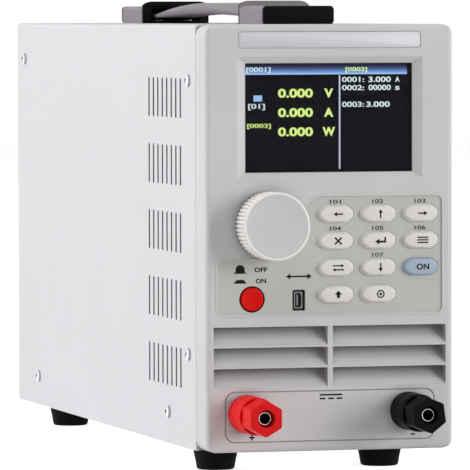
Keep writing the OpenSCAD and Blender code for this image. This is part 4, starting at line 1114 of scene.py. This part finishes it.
# %% Power marks, data arrow and post marks
DOME_X = -43.4
WORD_X = -33.4
WORD_TALL = 2.25
OFF_Z, ON_Z = 85.2, 79.8
OFF_DOME = [(-3.1, -1.9), (3.1, -1.9), (3.1, -1.5), (2.25, -1.3), (2.2, 0.0)]
OFF_DOME += arc(0, 0.0, 2.15, 12, 168, 12) + [(-2.2, 0.0), (-2.25, -1.3), (-3.1, -1.5)]
ON_DOME = [(-3.15, -0.9), (3.15, -0.9), (2.8, -0.4), (1.5, 0.85), (-1.5, 0.85), (-2.8, -0.4)]
DATA_MARK_UP = 11.1
DATA_ARROWS = [moved(arrow(6.2, turn, 1.35, 0.36), dx, 0) for turn, dx in ((0, 3.1), (180, -3.1))]
POST_MARK_Z = 7.0
DIRECT_CURRENT = [bar(11.0, 0.75, 0, 0.85)] + [bar(2.8, 0.75, dx, -0.85) for dx in (-4.1, 0.0, 4.1)]
WORDS = [("OFF", OFF_Z - 0.2, 6.2), ("ON", ON_Z, 5.0)]
# Outlines, place and depth of the marks on the film and on the moulded front
FRONT_MARKS = {
    "dome_out": ([OFF_DOME], DOME_X, OFF_Z, FILM_FACE),
    "dome_in": ([ON_DOME], DOME_X, ON_Z - 0.2, FILM_FACE),
    "data_mark": (DATA_ARROWS + [bar(0.6, 0.72)], socket_x, socket_z + DATA_MARK_UP, FILM_FACE),
    "plus_mark": ([cross(1.3, 0.34)], -38.0, POST_MARK_Z, PRINT_RAISE),
    "minus_mark": ([bar(2.2, 0.66)], 40.2, POST_MARK_Z, PRINT_RAISE),
    "current_mark": (DIRECT_CURRENT, 0.3, 25.4, PRINT_RAISE),
}
for name, mark in FRONT_MARKS.items():
    front_print(name, solid_sign(*mark))
for word, z, width in WORDS:
    front_print(f"word_{word.lower()}", solid_text(word, WORD_TALL, WORD_X, z, FILM_FACE, 0.03, width))
print(len(FRONT_MARKS), "marks and", len(WORDS), "words on the front")

# %% [markdown]
# ## The lit screen
# A colour display sits behind a clear window: black ground, a bar that runs from dark to pale blue,
# large yellow-green readings at the left and small white ones at the right. Each lit shape is a thin
# solid that glows just enough to show its own colour and lights nothing else. Fine lines, as a screen
# draws its picture in rows, come from a wave texture and break the glow a little.

# %% Screen glow
PIXEL = 0.25
LINE_DIP = 0.9
SCREEN_DARK = (0.01, 0.01, 0.012, 1)


def glow(name, shades, low=0.0, high=1.0):
    """A lit screen colour with fine lines; several shades follow each other between two heights."""
    material, tree = new_material(name)
    place = add_node(tree, "TexCoord").outputs["Object"]
    height = add_node(tree, "SeparateXYZ", {"Vector": place}).outputs["Z"]
    level = add_node(tree, "MapRange", {
        "Value": height, "From Min": (BOTTOM + low) * MM, "From Max": (BOTTOM + high) * MM})
    ramp = add_node(tree, "ValToRGB", {"Fac": level.outputs["Result"]})
    stops = ramp.color_ramp.elements
    for i in range(1, len(shades) - 1):
        stops.new(i / (len(shades) - 1))
    for i, stop in enumerate(stops):
        stop.color = (*tone(*shades[min(i, len(shades) - 1)]), 1)
    waves = {"Vector": place, "Scale": 0.05 / (PIXEL * MM) * 2 * math.pi}
    grid = add_node(tree, "TexWave", waves, bands_direction="Z")
    lines = add_node(tree, "MapRange", {"Value": grid.outputs["Fac"], "To Min": LINE_DIP})
    lit = {0: ramp.outputs["Color"], "Scale": lines.outputs["Result"]}
    fill(tree, tree.nodes["Principled BSDF"], {
        "Base Color": SCREEN_DARK, "Specular IOR Level": 0.05, "Emission Strength": 1.0,
        "Emission Color": add_node(tree, "VectorMath", lit, operation="SCALE").outputs["Vector"]})
    return material


SIDE_MARGIN, END_MARGIN = 2.9, 1.9
screen_low, screen_high = reach("screen_window")
SCREEN_TOP = screen_high.z - END_MARGIN
SCREEN_FOOT = screen_low.z + END_MARGIN
SCREEN_LEFT = screen_low.x + SIDE_MARGIN
SCREEN_RIGHT = screen_high.x - SIDE_MARGIN
BAR_TALL = 5.1
BAR_SHADES = [(168, 208, 252), (110, 152, 214), (66, 92, 146), (36, 42, 74), (14, 12, 26)]
GLOW_GREEN = glow("glow_green", [(224, 248, 140)])
GLOW_WHITE = glow("glow_white", [(222, 236, 240)])
GLOW_BLUE = glow("glow_blue", [(160, 196, 250)])
GLOW_LINE = glow("glow_line", [(196, 200, 226)])
GLOW_BAR = glow("glow_bar", BAR_SHADES, SCREEN_TOP - BAR_TALL, SCREEN_TOP - 0.4)
print("screen", round(SCREEN_RIGHT - SCREEN_LEFT, 1), "by", round(SCREEN_TOP - SCREEN_FOOT, 1), "mm")

# %% Readings on the screen
LIT_FACE = screen_high.y - 0.02
ON_BAR = LIT_FACE - 1.5 * PRINT_THICK
BAR_RIGHT = SCREEN_RIGHT - 2.0
READING_X = SCREEN_LEFT + 24.5
UNIT_X = SCREEN_LEFT + 40.6
READING_ROWS = [("V", 13.85, 4.4), ("A", 22.85, 4.5), ("W", 31.8, 6.1)]


def screen_sign(name, width, tall, x, down, finish):
    shape = solid_sign([bar(width, tall)], x, SCREEN_TOP - down, LIT_FACE)
    make_piece(name, shape, finish, "display_black")


def screen_text(name, words, height, x, down, finish, width, bold=0.02, depth=LIT_FACE):
    shape = solid_text(words, height, x, SCREEN_TOP - down, depth, bold, width)
    make_piece(name, shape, finish, "display_black")


bar_middle = (SCREEN_LEFT + BAR_RIGHT) / 2
screen_sign("title_bar", BAR_RIGHT - SCREEN_LEFT, BAR_TALL, bar_middle, BAR_TALL / 2 + 0.1, GLOW_BAR)
screen_text("title_left", "[0001]", 2.7, -33.75, 3.1, GLOW_WHITE, 11.7, depth=ON_BAR)
screen_text("title_right", "[0002]", 2.5, 13.65, 3.1, GLOW_GREEN, 10.5, depth=ON_BAR)
screen_sign("divider", 0.75, 43.6, SCREEN_LEFT + 45.9, 27.4, GLOW_LINE)
screen_sign("state_light", 4.1, 2.8, SCREEN_LEFT + 6.3, 16.2, GLOW_BLUE)
screen_text("state_number", "[01]", 3.0, -34.65, 20.2, GLOW_WHITE, 8.1)
screen_text("mode_number", "[0003]", 2.5, -33.5, 29.2, GLOW_GREEN, 11.4)
for unit, down, wide in READING_ROWS:
    screen_text(f"reading_{unit}", "0.000", 4.26, READING_X, down, GLOW_GREEN, 16.9, bold=0.035)
    screen_text(f"unit_{unit}", unit, 4.2, UNIT_X, down, GLOW_GREEN, wide, bold=0.045)
print(len(READING_ROWS), "readings at the left")

# %% Settings on the screen
SETTING_ROWS = [
    (7.6, "0001:", "3.000", "A", 25.05, 10.9),
    (11.4, "0002:", "00000", "s", 25.05, 10.9),
    (19.2, "0003:", "3.000", None, 24.25, 11.5),
]
CAPITAL, SMALL_LETTER = 2.5, 1.9
LABEL_X, LABEL_WIDE = 12.1, 10.8
SIDE_UNIT_X, SIDE_UNIT_WIDE = 33.7, 2.2
for count, (down, label, number, unit, x, wide) in enumerate(SETTING_ROWS, 1):
    screen_text(f"setting_label_{count}", label, CAPITAL, LABEL_X, down, GLOW_WHITE, LABEL_WIDE)
    screen_text(f"setting_{count}", number, 2.6, x, down, GLOW_WHITE, wide, bold=0.025)
    if unit:
        tall = CAPITAL if unit.isupper() else SMALL_LETTER
        drop = (CAPITAL - tall) / 2
        screen_text(f"setting_unit_{count}", unit, tall, SIDE_UNIT_X, down + drop, GLOW_WHITE, SIDE_UNIT_WIDE,
                    bold=0.025)
print(len(SETTING_ROWS), "settings at the right")

# %% [markdown]
# ## The clear window
# A thin clear sheet covers the screen. In CAD it is a plain slab as thick as its rebate. Here it is
# thinner and has a softened edge, so that the lit shapes have room behind it. Ordinary glass would
# mirror the white room, so this sheet gets a low index, like an anti-glare coating, and a faint
# smear in its roughness.

# %% Window
WINDOW_THICK = 0.5
WINDOW_GAP = 0.05
WINDOW_CORNER = 1.0
WINDOW_INDEX = 1.06
CLEAR = surface("clear_window", (250, 251, 252), 0.06, spread=0.03, shift=0.004, patch=14, grain=8, bump=0.01)
tree = CLEAR.node_tree
fill(tree, tree.nodes["Principled BSDF"], {"Transmission Weight": 1.0, "IOR": WINDOW_INDEX})
box = (screen_low.x + WINDOW_GAP, screen_high.x - WINDOW_GAP,
       screen_low.z + WINDOW_GAP, screen_high.z - WINDOW_GAP)
front = screen_low.y + 0.02
back = front + WINDOW_THICK
shape = plate(box, WINDOW_CORNER, [(back, 0.2), (back - 0.15, 0), (front + 0.15, 0), (front, 0.2)])
make_piece("clear_window", shape, CLEAR, "screen_glass", "screen_window")
print("window", WINDOW_THICK, "mm thick")
